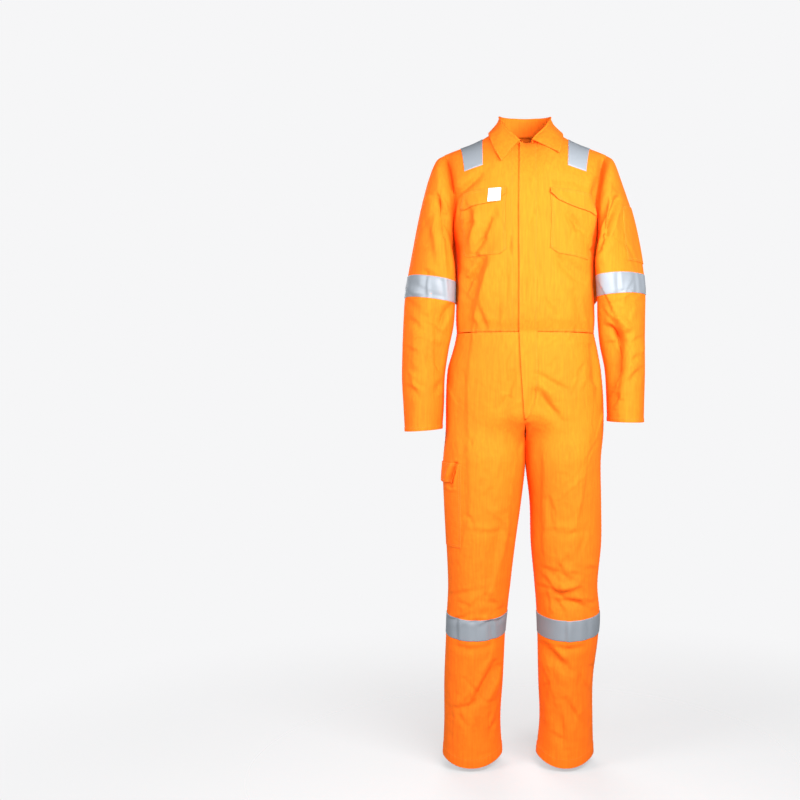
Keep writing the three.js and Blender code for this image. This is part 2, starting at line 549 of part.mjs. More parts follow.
const CROTCH_ROW = LEG_ROWS_Z.indexOf(CROTCH_Z);
const INSEAM_ROWS = LEG_ROWS_Z.length - 1 - CROTCH_ROW;

function cutPanels(side) {
  const legs = trouserSurface(side);
  const panels = {
    front: bodiceGrid(side, "front"),
    back: bodiceGrid(side, "back"),
    sleeve: gridOf(sleeveSurface(side), sleeveColumns, SLEEVE_ROWS),
    trouserFront: gridOf(legs, trouserFrontColumns, LEG_ROWS_Z),
    trouserBack: gridOf(legs, trouserBackColumns, LEG_ROWS_Z),
  };
  const { front, back, sleeve: arm } = panels;
  const armpit = ROWS.indexOf(ARMPIT_ROW);
  mitre(front.at(-1), back.at(-1));
  mitre(front[0], panels.trouserFront[0]);
  mitre([...back[0]].reverse(), panels.trouserBack[0]);
  mitre(columnOf(panels.trouserFront, -1), columnOf(panels.trouserBack, 0));
  const frontInseam = columnOf(panels.trouserFront, 0).slice(-INSEAM_ROWS);
  mitre(frontInseam, columnOf(panels.trouserBack, -1).slice(-INSEAM_ROWS));
  mitre(columnOf(front, -1).slice(0, armpit + 1), columnOf(back, -1).slice(0, armpit + 1));
  const frontEdge = columnOf(front, -1).slice(armpit);
  const backEdge = columnOf(back, -1).slice(armpit);
  mitre(frontEdge, arm[0].slice(0, frontEdge.length));
  mitre(backEdge.slice(1, -1), arm[0].slice(frontEdge.length).reverse());
  backEdge[0].n = frontEdge[0].n;
  backEdge.at(-1).n = frontEdge.at(-1).n;
  return panels;
}
const PANELS = { right: cutPanels("right"), left: cutPanels("left") };
mitre(columnOf(PANELS.right.front, 0), columnOf(PANELS.left.front, 0));
for (const [name, edge] of [["trouserFront", 0], ["trouserBack", -1]]) {
  const [right, left] = SIDES.map((side) => columnOf(PANELS[side][name], edge));
  mitre(right.slice(0, CROTCH_ROW), left.slice(0, CROTCH_ROW));
  for (const point of [right[CROTCH_ROW], left[CROTCH_ROW]]) point.n = new THREE.Vector3(0, 0, -1);
}

function addBodice() {
  for (const side of SIDES) add(`front_${side}`, wall(seamed(PANELS[side].front), -BODY_CLOTH, 0), ORANGE);
  const across = PANELS.right.back.map((row, j) => [
    ...[...row].reverse().map((point) => ({ ...point, u: -point.u })),
    ...PANELS.left.back[j].slice(1),
  ]);
  add("back", wall(seamed(across), -BODY_CLOTH, 0), ORANGE);
}

function addSleeves() {
  for (const side of SIDES) {
    const { sleeve: grid } = PANELS[side];
    const arm = seamed(grid, { sides: false, last: false });
    add(`sleeve_${side}`, wall(arm, -BODY_CLOTH, 0, { wrap: true }), ORANGE);
    const tape = grid.filter((row) => row[0].v >= SLEEVE_TAPE_ROWS.from && row[0].v <= SLEEVE_TAPE_ROWS.to);
    add(`sleeve_tape_${side}`, wall(tape, SEAM_GAP, SEAM_GAP + TAPE, { wrap: true }), SILVER);
  }
}

function addTrousers() {
  for (const side of SIDES) {
    const { trouserFront, trouserBack } = PANELS[side];
    add(`trouser_front_${side}`, wall(seamed(trouserFront, { last: false }), -BODY_CLOTH, 0), ORANGE);
    add(`trouser_back_${side}`, wall(seamed(trouserBack, { last: false }), -BODY_CLOTH, 0), ORANGE);
    const rows = between(LEG_ROWS_Z, LEG_TAPE_Z.from, LEG_TAPE_Z.to);
    const tape = gridOf(trouserSurface(side), trouserColumns.slice(0, -1), rows);
    add(`leg_tape_${side}`, wall(tape, SEAM_GAP, SEAM_GAP + TAPE, { wrap: true }), SILVER);
  }
}

// A strip down the centre front, over both fronts of the bodice and of the trousers. Its top end stays
// clear of the collar seam.
function frontStrip(rightU, leftU, topRow) {
  const columns = [
    { side: "right", us: between(COLUMNS, 0, rightU).slice(1).reverse() },
    { side: "left", us: between(COLUMNS, 0, leftU) },
  ];
  const bodiceRows = between(ROWS, 0, topRow).reverse();
  const trouserRows = LEG_ROWS_Z.filter((z) => z < WAIST_Z && z >= FLY_END_Z);
  const rowOf = (pick) =>
    columns.flatMap(({ side, us }) => us.map((u) => ({ ...pick(side, u), u: side === "right" ? -u : u })));
  const rows = [
    ...bodiceRows.map((v) => rowOf((side, u) => bodiceSurface(side, "front")(u, v))),
    ...trouserRows.map((z) => rowOf((side, u) => trouserSurface(side)(u / 2, z))),
  ];
  rows[0].forEach((point, i) => point.p.lerp(rows[1][i].p, STRIP_TOP_TRIM));
  return rows.map((row, j) => row.map((point) => ({ ...point, v: -j })));
}

function addFrontClosing() {
  const placket = frontStrip(PLACKET_RIGHT_U, PLACKET_LEFT_U, SHOULDER_ROW);
  add("placket", wall(placket, onTop(0), onTop(0) + POCKET_CLOTH), ORANGE);
  const inside = -BODY_CLOTH - SEAM_GAP;
  const zip = frontStrip(PLACKET_RIGHT_U, PLACKET_RIGHT_U, ZIP_TOP_ROW);
  add("zip", wall(zip, inside - ZIP_TAPE, inside), ZIP_FINISH);
}

// Chest pockets, their flaps and the plain woven patch on the right flap
function addChestPockets() {
  for (const [side, range] of [["right", RIGHT_POCKET_U], ["left", LEFT_POCKET_U]]) {
    const us = between(COLUMNS, range.from, range.to);
    const pocket = bodiceGrid(side, "front", us, between(ROWS, POCKET_BOTTOM_ROW, POCKET_TOP_ROW));
    const bag = wall(pocket, onTop(0), onTop(0) + POCKET_CLOTH, { cutCorners: true });
    add(`chest_pocket_${side}`, bag, ORANGE);
    const flap = bodiceGrid(side, "front", us, between(ROWS, FLAP_BOTTOM_ROW, CHEST_ROW));
    add(`chest_flap_${side}`, wall(flap, onTop(1), onTop(1) + POCKET_CLOTH, { cutCorners: true }), ORANGE);
  }
  const us = between(COLUMNS, PATCH_U.from, PATCH_U.to);
  const patch = bodiceGrid("right", "front", us, between(ROWS, PATCH_BOTTOM_ROW, CHEST_ROW));
  add("chest_patch", wall(patch, onTop(2), onTop(2) + TAPE), WHITE);
}

// Tape over each shoulder, from the front of the bodice to the back
function addShoulderTapes() {
  const us = between(COLUMNS, SHOULDER_TAPE_U.from, SHOULDER_TAPE_U.to);
  const rows = between(ROWS, TAPE_END_ROW, SHOULDER_ROW);
  for (const side of SIDES) {
    const front = bodiceGrid(side, "front", us, rows);
    const back = bodiceGrid(side, "back", us, rows).reverse();
    const halfway = (point, i) => ({ ...point, n: point.n.clone().add(back[0][i].n).normalize() });
    const ridge = front.at(-1).map(halfway);
    const tape = [...front.slice(0, -1), ridge, ...back.slice(1)];
    add(`shoulder_tape_${side}`, wall(tape, SEAM_GAP, SEAM_GAP + TAPE), SILVER);
  }
}

// Pocket with a flap on the right thigh, over the side seam
function addThighPocket() {
  const { topZ, flapZ, bottomZ } = THIGH_POCKET;
  const us = between(trouserColumns, THIGH_POCKET_U.from, THIGH_POCKET_U.to);
  const surface = trouserSurface("right");
  const rowsDownTo = (z) => between(LEG_ROWS_Z, z, topZ).reverse();
  const pocket = gridOf(surface, us, rowsDownTo(bottomZ));
  add("thigh_pocket", wall(pocket, onTop(0), onTop(0) + POCKET_CLOTH), ORANGE);
  const flap = gridOf(surface, us, rowsDownTo(flapZ));
  add("thigh_flap", wall(flap, onTop(1), onTop(1) + POCKET_CLOTH), ORANGE);
}

// Small pocket on the outside of the left upper sleeve
function addSleevePocket() {
  const us = sleeveColumns.slice(SLEEVE_POCKET.columns[0], SLEEVE_POCKET.columns[1] + 1);
  const rows = between(SLEEVE_ROWS, SLEEVE_POCKET.rows.from, SLEEVE_POCKET.rows.to);
  const pocket = gridOf(sleeveSurface("left"), us, rows);
  add("sleeve_pocket", wall(pocket, onTop(0), onTop(0) + POCKET_CLOTH), ORANGE);
}

// The collar: a stand that rises from the neckline to the fold, and the leaf that turns down from it
function collarStations() {
  const station = (side) => ({ neck: [face, u], fold, edge, bulge }) => {
    const sign = side === "left" ? 1 : -1;
    const placed = ([x, y, z]) => new THREE.Vector3(sign * x, y, z);
    const neck = bodiceSurface(side, face)(u, SHOULDER_ROW).p;
    return { neck, fold: placed(fold), edge: placed(edge), bulge };
  };
  const right = COLLAR.right.map(station("right"));
  return [...right, ...COLLAR.left.map(station("left")).reverse().slice(1)];
}

function collarGrid(along, pointAt) {
  const stations = collarStations();
  const rows = along.map((v) => stations.map((station, i) => ({ u: i, v, p: pointAt(station, v) })));
  rows.forEach((row, j) =>
    row.forEach((point, i) => {
      const [before, after] = [row[Math.max(0, i - 1)].p, row[Math.min(row.length - 1, i + 1)].p];
      const [under, over] = [rows[Math.max(0, j - 1)][i].p, rows[Math.min(rows.length - 1, j + 1)][i].p];
      point.n = over.clone().sub(under).cross(after.clone().sub(before)).normalize();
    }),
  );
  return rows;
}

function addCollar() {
  const steps = Array.from({ length: STAND_STEPS + 1 }, (_, i) => i / STAND_STEPS);
  const stand = collarGrid(steps, ({ neck, fold }, v) => neck.clone().lerp(fold, v));
  add("collar_stand", wall(seamed(stand, { sides: false }), -COLLAR_CLOTH, 0), ORANGE);
  const leaf = collarGrid(LEAF_STEPS, ({ fold, edge, bulge }, v) => {
    const outward = new THREE.Vector3(fold.x, fold.y, 0).normalize();
    const round = Math.sin(Math.PI * Math.sqrt(v));
    return fold.clone().lerp(edge, v).addScaledVector(outward, bulge * round);
  });
  for (const point of leaf.flat()) point.n.negate();
  add("collar_leaf", wall(leaf, SEAM_GAP, SEAM_GAP + COLLAR_CLOTH), ORANGE);
}

addBodice();
addCollar();
addSleeves();
addTrousers();
addFrontClosing();
addChestPockets();
addShoulderTapes();
addThighPocket();
addSleevePocket();

export default suit;
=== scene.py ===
# %% [markdown]
# # A boiler suit of orange cotton
#
# The suit hangs in the shape that a wearer gives it. Cloth could be simulated, or modelled by hand with
# a sculpting tool. Here every panel is a fine grid of points on a smooth surface, with its folds pressed
# in by short lists of numbers, and it becomes a thin shell of cloth. A list can be read and changed, and
# it gives the same folds each time. The surfaces are the ones that the CAD model is made from, so each
# panel lies where its CAD node is.

# %%
import math

import bpy
import numpy as np
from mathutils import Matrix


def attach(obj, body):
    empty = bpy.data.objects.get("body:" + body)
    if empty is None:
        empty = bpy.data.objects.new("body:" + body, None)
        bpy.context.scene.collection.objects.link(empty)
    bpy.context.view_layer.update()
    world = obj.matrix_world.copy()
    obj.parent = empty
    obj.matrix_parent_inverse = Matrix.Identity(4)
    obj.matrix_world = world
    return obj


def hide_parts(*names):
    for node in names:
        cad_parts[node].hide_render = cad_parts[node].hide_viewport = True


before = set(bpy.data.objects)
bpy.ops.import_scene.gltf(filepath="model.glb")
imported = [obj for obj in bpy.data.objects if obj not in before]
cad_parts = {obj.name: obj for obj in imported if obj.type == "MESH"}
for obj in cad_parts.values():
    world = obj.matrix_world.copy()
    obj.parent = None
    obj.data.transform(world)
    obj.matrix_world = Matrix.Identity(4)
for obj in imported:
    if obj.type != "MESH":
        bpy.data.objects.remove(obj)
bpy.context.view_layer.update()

# %% [markdown]
# ## Sizes
#
# A garment is cut from measures of the body: the heights of waist, armpit and crotch, the neck and the
# shoulders. They could be typed in wherever they are used, but with one name each they are changed in
# one place. Sizes are in millimetres, as a pattern cutter would write them, and turn into Blender's
# metres only where a mesh is made. +Z is up, the front faces -Y, and the wearer's left is +X.

# %%
MM = 0.001
TAU = 2 * math.pi

# Heights from about the side of the neck, where z is 0
CHEST_EDGE_Z = -168
CHEST_CENTRE_Z = -143
BACK_CENTRE_Z = -132
ARMPIT_Z = -246
WAIST_Z = -475
FORK_TOP_Z = -660
FLY_END_Z = -675
CROTCH_Z = -780
HEM_Z = -1475

NECK = {"half_width": 78, "front": 62, "back": 70, "side_z": 4, "front_z": -36, "back_z": 10}
NECK_U = 0.311  # the share of a front's width where the neckline ends and the shoulder begins
SHOULDER_TIP = {"x": 195, "z": -48}
SHOULDER_SAG = 9
ARMHOLE_REACH = {"front": 70, "back": 66}

# How square a section is: 2 gives an ellipse, and more gives flatter sides
ROUNDNESS = 2.3
SLEEVE_ROUNDNESS = 2.2
LEG_WIDTH_ROUNDNESS = 2.15
LEG_ROUNDNESS = {"right": 2.15, "left": 1.9}
print("waist to hem", WAIST_Z - HEM_Z, "mm, shoulder to shoulder", 2 * SHOULDER_TIP["x"], "mm")

# %% [markdown]
# ## Sections
#
# Body, sleeves and legs are tubes. They could be drawn as curves and lofted, or cut from a body mesh.
# Here each table lists sections of a tube from one end to the other, and a smooth curve through the rows
# gives every section between them, which keeps the tables short and the tubes without dents.

# %%
BODICE = np.array(
    [  # height, half the width, reach to the front, reach to the back
        (-475, 164, 107, 92),
        (-445, 166, 119, 101),
        (-400, 165, 126, 106),
        (-320, 164, 131, 114),
        (-246, 171, 132, 120),
        (-168, 189, 126, 122),
        (-118, 194, 120, 120),
    ],
    float,
)

SLEEVE = {
    # outer edge x and z, inner edge x and z, reach to the front and the back, lean of the front
    "right": [
        (214, -64, 174, -259, 80, 74, 4),
        (234, -112, 176, -277, 84, 74, 10),
        (252, -186, 174, -299, 84, 70, 16),
        (266, -262, 172, -325, 82, 66, 20),
        (279, -336, 171, -354, 79, 64, 22),
        (287, -388, 171, -405, 76, 62, 20),
        (292, -448, 173, -456, 74, 58, 14),
        (295, -512, 184, -514, 76, 48, 8),
        (296, -580, 193, -578, 80, 34, 4),
        (292, -648, 195, -644, 80, 20, 2),
        (288, -708, 199, -702, 80, 10, 0),
    ],
    "left": [
        (213, -64, 174, -257, 80, 74, 6),
        (232, -112, 177, -273, 86, 74, 16),
        (252, -184, 178, -292, 90, 68, 28),
        (264, -258, 179, -315, 90, 62, 36),
        (275, -330, 180, -342, 86, 58, 36),
        (282, -379, 179, -391, 82, 56, 30),
        (286, -436, 175, -440, 78, 54, 18),
        (287, -498, 178, -498, 80, 46, 8),
        (287, -562, 190, -560, 84, 32, 4),
        (285, -626, 194, -624, 86, 16, 2),
        (283, -686, 196, -684, 86, 4, 0),
    ],
}
CUFF_ROW = 11

# Height; outer edge, inner edge and reach to the front, each for the right and the left leg; reach to the
# back; how much lower the front hangs
LEG_ROWS = np.array(
    [
        (-475, 164, 164, 0, 0, 107, 107, 92, 0),
        (-510, 172, 172, 0, 0, 113, 113, 105, 0),
        (-560, 186, 181, 0, 0, 116, 116, 120, 0),
        (-630, 190, 187, 0, 0, 115, 115, 130, 0),
        (-710, 191, 187, -0.3, -0.3, 113, 113, 127, 0),
        (-780, 197, 181, -0.3, -0.3, 110, 110, 117, 0),
        (-875, 194, 182, 10, 10, 104, 104, 104, 0),
        (-975, 189, 182, 24, 13, 98, 99, 93, 0),
        (-1075, 185, 173, 36, 22, 93, 95, 84, 0),
        (-1144, 188, 178, 44, 27, 91, 94, 81, 0),
        (-1193, 190, 175, 49, 29, 89, 91, 82, 0),
        (-1300, 194, 162, 54, 31, 85, 85, 84, 2),
        (-1395, 194, 161, 60, 34, 82, 82, 82, 7),
        (-1475, 197, 163, 56, 26, 82, 82, 80, 15),
    ],
    float,
)
# The columns of each leg: height, outer edge, inner edge, reach to the front and the back, front's drop
LEGS = {"right": LEG_ROWS[:, (0, 1, 3, 5, 7, 8)], "left": LEG_ROWS[:, (0, 2, 4, 6, 7, 8)]}
print(len(BODICE), "sections of the bodice,", CUFF_ROW, "of a sleeve and", len(LEG_ROWS), "of a leg")

# %% [markdown]
# ## Curves through the tables
#
# Cloth has no corners between one section and the next. Straight lines between the rows would show as
# rings, and Blender's own curves can't be asked for a value at any place. `smooth` is a Catmull-Rom
# spline: it passes through every row and has no corners. All functions take arrays, so one call gives
# every point of a panel.

# %%
def mix(a, b, t):
    return a + (b - a) * t


def clamp(x):
    return np.clip(x, 0, 1)


def ease(x):
    return clamp(x) ** 2 * (3 - 2 * clamp(x))


def signed_power(x, power):
    return np.sign(x) * np.abs(x) ** power


def quarter(t):
    return np.sin(math.pi / 2 * t)


def smooth(values, at):
    """The value of a spline at each row number in at. values has a row for each knot."""
    last = len(values) - 1
    i = np.clip(np.floor(at).astype(int), 0, last - 1)

    def pick(j):
        return values[j, np.arange(len(j))] if values.ndim == 3 else values[j]

    p1, p2 = pick(i), pick(i + 1)
    spread = (slice(None),) * i.ndim + (None,) * (p1.ndim - i.ndim)
    t, first, final = (at - i)[spread], (i == 0)[spread], (i + 2 > last)[spread]
    p0 = np.where(first, 2 * p1 - p2, pick(np.maximum(i - 1, 0)))
    p3 = np.where(final, 2 * p2 - p1, pick(np.minimum(i + 2, last)))
    cubic = 2 * p0 - 5 * p1 + 4 * p2 - p3 + t * (3 * (p1 - p2) + p3 - p0)
    return p1 + 0.5 * t * (p2 - p0 + t * cubic)


def row_at(heights, z):
    """Where a height lies between the rows of a table, as a row number with a fraction."""
    numbers = np.arange(len(heights))
    if heights[0] > heights[1]:
        return np.interp(-z, -heights, numbers)
    return np.interp(z, heights, numbers)


def reach(x, half_width):
    """How far a rounded section reaches at x, as a share of its depth."""
    inside = 1 - np.abs(x / half_width) ** ROUNDNESS
    return np.maximum(0, inside) ** (1 / ROUNDNESS)


# %% [markdown]
# ## Bodice, sleeve and trouser surfaces
#
# A tailor's panels meet on seams, so the surfaces have to share their edges. They could be trimmed where
# they cross, but it is simpler to let each start from its neighbour's edge. `u` runs from the centre
# front or centre back (0) to the side seam (1). On the bodice `v` runs from the waist seam (0) past the
# chest (1) to the shoulder (2). A sleeve's first ring is the armhole, so that it joins the bodice on one
# line, and a leg is half of the hips that closes below the fork.

# %%
def top_edge(face, u):
    forward = -1 if face == "front" else 1
    across = clamp(quarter(u) / quarter(NECK_U))
    neck_x = NECK["half_width"] * across
    neck_y = forward * NECK[face] * np.sqrt(np.maximum(0, 1 - across * across))
    neck_z = mix(NECK[face + "_z"], NECK["side_z"], across**1.5)
    along = clamp((quarter(u) - quarter(NECK_U)) / (1 - quarter(NECK_U)))
    sag = SHOULDER_SAG * np.sin(math.pi * along) * (1 - along)
    shoulder_x = mix(NECK["half_width"], SHOULDER_TIP["x"], along)
    shoulder_z = mix(NECK["side_z"], SHOULDER_TIP["z"], along) - sag
    on_neck = u <= NECK_U
    x = np.where(on_neck, neck_x, shoulder_x)
    y = np.where(on_neck, neck_y, 0)
    z = np.where(on_neck, neck_z, shoulder_z)
    return np.stack([x, y, z], -1)


def chest_point(face, u, v):
    centre_z = mix(WAIST_Z, CHEST_CENTRE_Z if face == "front" else BACK_CENTRE_Z, v)
    edge_z = mix(WAIST_Z, CHEST_EDGE_Z, v)
    z = mix(centre_z, edge_z, u * u)
    forward = -1 if face == "front" else 1
    depths = BODICE[:, 2] if face == "front" else BODICE[:, 3]
    half_width = smooth(BODICE[:, 1], row_at(BODICE[:, 0], edge_z))
    depth = smooth(depths, row_at(BODICE[:, 0], z))
    into_armhole = clamp((edge_z - ARMPIT_Z) / (CHEST_EDGE_Z - ARMPIT_Z))
    edge_depth = smooth(depths, row_at(BODICE[:, 0], edge_z))
    edge_reach = ARMHOLE_REACH[face] * quarter(into_armhole) / edge_depth
    edge_x = half_width * (1 - edge_reach**ROUNDNESS) ** (1 / ROUNDNESS)
    x = edge_x * quarter(u)
    return np.stack([x, forward * depth * reach(x, half_width), z], -1)


FULLNESS = {"centre": 1.45, "side": 2.0}  # how square the cloth turns over from the chest to the top


def bodice(face, u, v):
    turn = math.pi / 2 * clamp(v - 1)
    fullness = mix(FULLNESS["centre"], FULLNESS["side"], ease(u / NECK_U))
    rise = np.sin(turn) ** (2 / fullness)
    inward = 1 - np.cos(turn) ** (2 / fullness)
    below = chest_point(face, u, np.minimum(v, 1))
    above = top_edge(face, u)
    share = np.stack([(rise + inward) / 2, inward, rise], -1)
    return mix(below, above, share)


ARMPIT_V = (ARMPIT_Z - WAIST_Z) / (CHEST_EDGE_Z - WAIST_Z)
ARMHOLE_ROWS = np.array([ARMPIT_V, 0.807, 0.868, 0.904, 0.952, 1, 1.28, 1.46, 1.64, 1.81, 2])


def armhole_v(u):
    steps = len(ARMHOLE_ROWS) - 1
    return np.interp(np.where(u <= 0.5, u, 1 - u) * 2 * steps, np.arange(steps + 1), ARMHOLE_ROWS)


def armhole(u):
    side = np.ones_like(u)
    v = armhole_v(u)
    return np.where((u <= 0.5)[:, None], bodice("front", side, v), bodice("back", side, v))


def sleeve(side, u, v):
    u = u % 1
    turn = TAU * u
    outward = (1 - signed_power(np.cos(turn), 2 / SLEEVE_ROUNDNESS)) / 2
    forward = signed_power(np.sin(turn), 2 / SLEEVE_ROUNDNESS)
    rings = [armhole(u)]
    for outer_x, outer_z, inner_x, inner_z, front, back, lean in SLEEVE[side]:
        depth = np.where(np.sin(turn) > 0, front, back)
        x = mix(inner_x, outer_x, outward) - lean * forward
        z = mix(inner_z, outer_z, outward)
        rings.append(np.stack([x, -depth * forward, z], -1))
    return smooth(np.array(rings), v)


DROP_POWER = 2.5  # how narrow the middle part of a hem is that hangs lowest


def trouser(side, u, z):
    table = LEGS[side]
    at = row_at(table[:, 0], z)
    outer, inner, front, back, front_drop = (smooth(table[:, k], at) for k in range(1, 6))
    depth = np.where(u <= 0.5, -front, back)
    hip_x = outer * np.sin(math.pi * u)
    hip_y = depth * reach(hip_x, outer)
    turn = TAU * u
    outward = (1 - signed_power(np.cos(turn), 2 / LEG_WIDTH_ROUNDNESS)) / 2
    leg_x = mix(inner, outer, outward)
    leg_y = depth * np.abs(np.sin(turn)) ** (2 / LEG_ROUNDNESS[side])
    forked = ease((FORK_TOP_Z - z) / (FORK_TOP_Z - CROTCH_Z))
    drop = front_drop * np.where(u <= 0.5, np.abs(np.sin(turn)) ** DROP_POWER, 0)
    return np.stack([mix(hip_x, leg_x, forked), mix(hip_y, leg_y, forked), z - drop], -1)


# %% [markdown]
# ## Folds
#
# Cloth that is worn falls into troughs with softer ridges beside them. A cloth simulation finds such
# folds by itself, but not these folds, so they are written down. Each row gives the path of a fold across
# and up, its height and its width. A height below 0 is a trough. Long folds point away from where the
# body holds the cloth: armholes, elbows, crotch and knees. Between them lie hundreds of fine creases,
# which nobody would place by hand, so a random generator with a fixed seed scatters them.

# %%
FRONT_FOLDS = [
    # Chest and belly, the wearer's right
    ([(-95, -105), (-180, -160)], -5, 15),
    ([(-105, -110), (-145, -140), (-180, -160)], -5, 7),
    ([(-75, -205), (-120, -295)], -5, 14),
    ([(-80, -215), (-95, -255), (-120, -295)], -5, 6),
    ([(-130, -195), (-125, -215), (-140, -240)], -7, 9),
    ([(-110, -190), (-125, -290)], 5, 11),
    ([(-105, -220), (-145, -300)], 4, 16),
    ([(-105, -310), (-140, -440)], -6, 16),
    ([(-95, -305), (-130, -350), (-145, -385)], -7, 8),
    ([(-65, -270), (-110, -440)], 4, 20),
    ([(-80, -320), (-105, -395)], 4, 10),
    ([(-35, -260), (-35, -300)], -4, 6),
    ([(-40, -315), (-45, -400)], -2.5, 8),
    ([(-110, -410), (-90, -470)], -3.5, 8),
    ([(-60, -395), (-65, -470)], -2.5, 8),
    # Chest and belly, the wearer's left
    ([(85, -190), (140, -240)], -4, 14),
    ([(105, -205), (125, -235), (140, -245)], -3.5, 7),
    ([(85, -305), (135, -345)], -5, 15),
    ([(65, -290), (95, -330), (135, -360)], -4, 9),
    ([(50, -400), (60, -470)], -2, 8),
    ([(115, -380), (140, -470)], -3.5, 9),
    ([(60, -120), (110, -125), (165, -145)], -3, 9),
    # Armholes and sleeve heads
    ([(-210, -155), (-195, -180), (-185, -205), (-180, -240)], -9, 8),
    ([(-160, -160), (-170, -200)], -3.5, 8),
    ([(-205, -165), (-200, -200), (-190, -240)], -6, 9),
    ([(-210, -150), (-190, -240)], -5, 16),
    ([(-235, -200), (-215, -310)], -3.5, 12),
    ([(175, -115), (160, -170)], -9, 8),
    ([(190, -165), (180, -215), (170, -275)], -8, 8),
    ([(220, -160), (200, -215), (190, -250), (160, -280)], -9, 9),
    ([(225, -140), (165, -275)], -6, 14),
    ([(210, -150), (180, -230)], 5, 8),
    ([(230, -75), (250, -145)], -3.5, 9),
    # Sleeves, with their tape
    ([(-230, -330), (-235, -395)], -2.5, 6),
    ([(-195, -335), (-190, -395)], -2.5, 6),
    ([(215, -330), (220, -400)], -3, 6),
    ([(260, -330), (265, -390)], -2, 6),
    ([(-170, -410), (-185, -440), (-195, -470)], -8, 9),
    ([(-195, -590), (-210, -620)], -5, 8),
    ([(-285, -505), (-255, -520)], -3, 7),
    ([(-280, -600), (-245, -615)], -3, 8),
    ([(-270, -440), (-240, -470)], -2.5, 7),
    ([(-240, -330), (-200, -350)], -3, 8),
    ([(-220, -440), (-205, -565)], -7, 18),
    ([(235, -485), (205, -620)], -10, 18),
    ([(180, -460), (240, -485)], -6, 14),
    ([(185, -460), (225, -480), (235, -495)], -9, 7),
    ([(190, -430), (225, -450), (240, -470)], 5, 8),
    ([(215, -620), (200, -650)], -5, 8),
    ([(270, -560), (240, -590)], -3, 8),
    # Crotch
    ([(30, -570), (60, -590), (100, -610)], -3.5, 9),
    ([(30, -610), (55, -645), (80, -675)], -5, 9),
    ([(30, -615), (80, -670)], -4, 13),
    ([(25, -585), (20, -630), (5, -665)], -3.5, 7),
    ([(-25, -570), (-40, -620), (-60, -655)], -4.5, 10),
    ([(40, -600), (70, -630)], 3, 8),
    ([(5, -690), (-15, -760)], -3, 7),
    # Knees
    ([(30, -760), (30, -1035)], -3, 14),
    ([(-130, -935), (-80, -940), (-35, -935)], -1, 7),
    ([(-130, -925), (-80, -930), (-60, -925)], 1, 6),
    ([(45, -935), (100, -940), (155, -935)], -1.2, 7),
    ([(60, -925), (110, -925)], 1, 6),
    ([(55, -860), (70, -910)], -3, 8),
    ([(95, -995), (70, -1040)], -3, 9),
    ([(80, -1040), (85, -1070), (120, -1060)], 2.5, 8),
    ([(55, -1070), (120, -1065)], 3, 12),
    ([(120, -1095), (145, -1110)], 3.5, 7),
    ([(70, -1085), (145, -1115)], -4, 13),
    ([(60, -1090), (95, -1130)], -3.5, 10),
    ([(-50, -900), (-85, -1080)], -5, 16),
    ([(-90, -1070), (-60, -1110)], 3, 10),
    # Slit in front of the thigh flap
    ([(-163, -780), (-175, -832)], -15, 4),
    # Shins, with their tape
    ([(-160, -1140), (-160, -1200)], -2.5, 6),
    ([(-115, -1140), (-120, -1200)], -2, 5),
    ([(-80, -1135), (-75, -1200)], -3, 6),
    ([(100, -1135), (100, -1205)], 4, 7),
    ([(145, -1140), (150, -1195)], -2, 7),
    ([(-70, -1250), (-95, -1295), (-125, -1345)], -8, 12),
    ([(-55, -1260), (-85, -1330)], 4.5, 9),
    ([(-170, -1205), (-120, -1210), (-80, -1205)], -2, 7),
    ([(50, -1205), (90, -1210), (140, -1205)], -2, 7),
    ([(45, -1210), (95, -1250)], -7, 12),
    ([(95, -1330), (130, -1390)], -4, 10),
    ([(-110, -1380), (-95, -1450)], -3.5, 12),
    ([(80, -1350), (90, -1440)], -3.5, 10),
]
BACK_FOLDS = [
    # Bodice
    ([(-150, -170), (-40, -270)], -5, 18),
    ([(150, -170), (45, -280)], -5, 18),
    ([(-20, -160), (-25, -330)], -3.5, 14),
    ([(25, -170), (20, -320)], 3.5, 14),
    ([(-130, -300), (-100, -350), (-60, -380)], -5, 11),
    ([(130, -300), (105, -345), (65, -375)], -5, 11),
    ([(-110, -430), (95, -425)], 5, 18),
    ([(-100, -450), (-20, -445)], -5, 8),
    ([(30, -448), (110, -452)], -5, 8),
    # Trousers
    ([(-25, -560), (-40, -640), (-70, -700)], -5, 12),
    ([(30, -560), (45, -640), (80, -700)], -5, 12),
    ([(-30, -720), (-120, -810)], -6, 18),
    ([(30, -725), (125, -820)], -6, 18),
    ([(-50, -1020), (-105, -1035), (-150, -1030)], -5, 9),
    ([(40, -1010), (95, -1025), (145, -1020)], -5, 9),
    ([(-60, -1050), (-160, -1080)], -6, 16),
    ([(45, -1045), (150, -1080)], -6, 16),
    ([(-80, -1240), (-130, -1340)], -6, 12),
    ([(70, -1240), (120, -1340)], -6, 12),
    # Sleeves
    ([(-270, -410), (-200, -440)], -6, 15),
    ([(270, -400), (200, -430)], -6, 15),
    ([(-275, -470), (-240, -490), (-205, -500)], -5, 9),
    ([(275, -460), (240, -480), (205, -490)], -5, 9),
    ([(-230, -300), (-210, -380)], -5, 11),
    ([(230, -290), (215, -370)], -5, 11),
]
FOLDS = [("front", *row) for row in FRONT_FOLDS] + [("back", *row) for row in BACK_FOLDS]
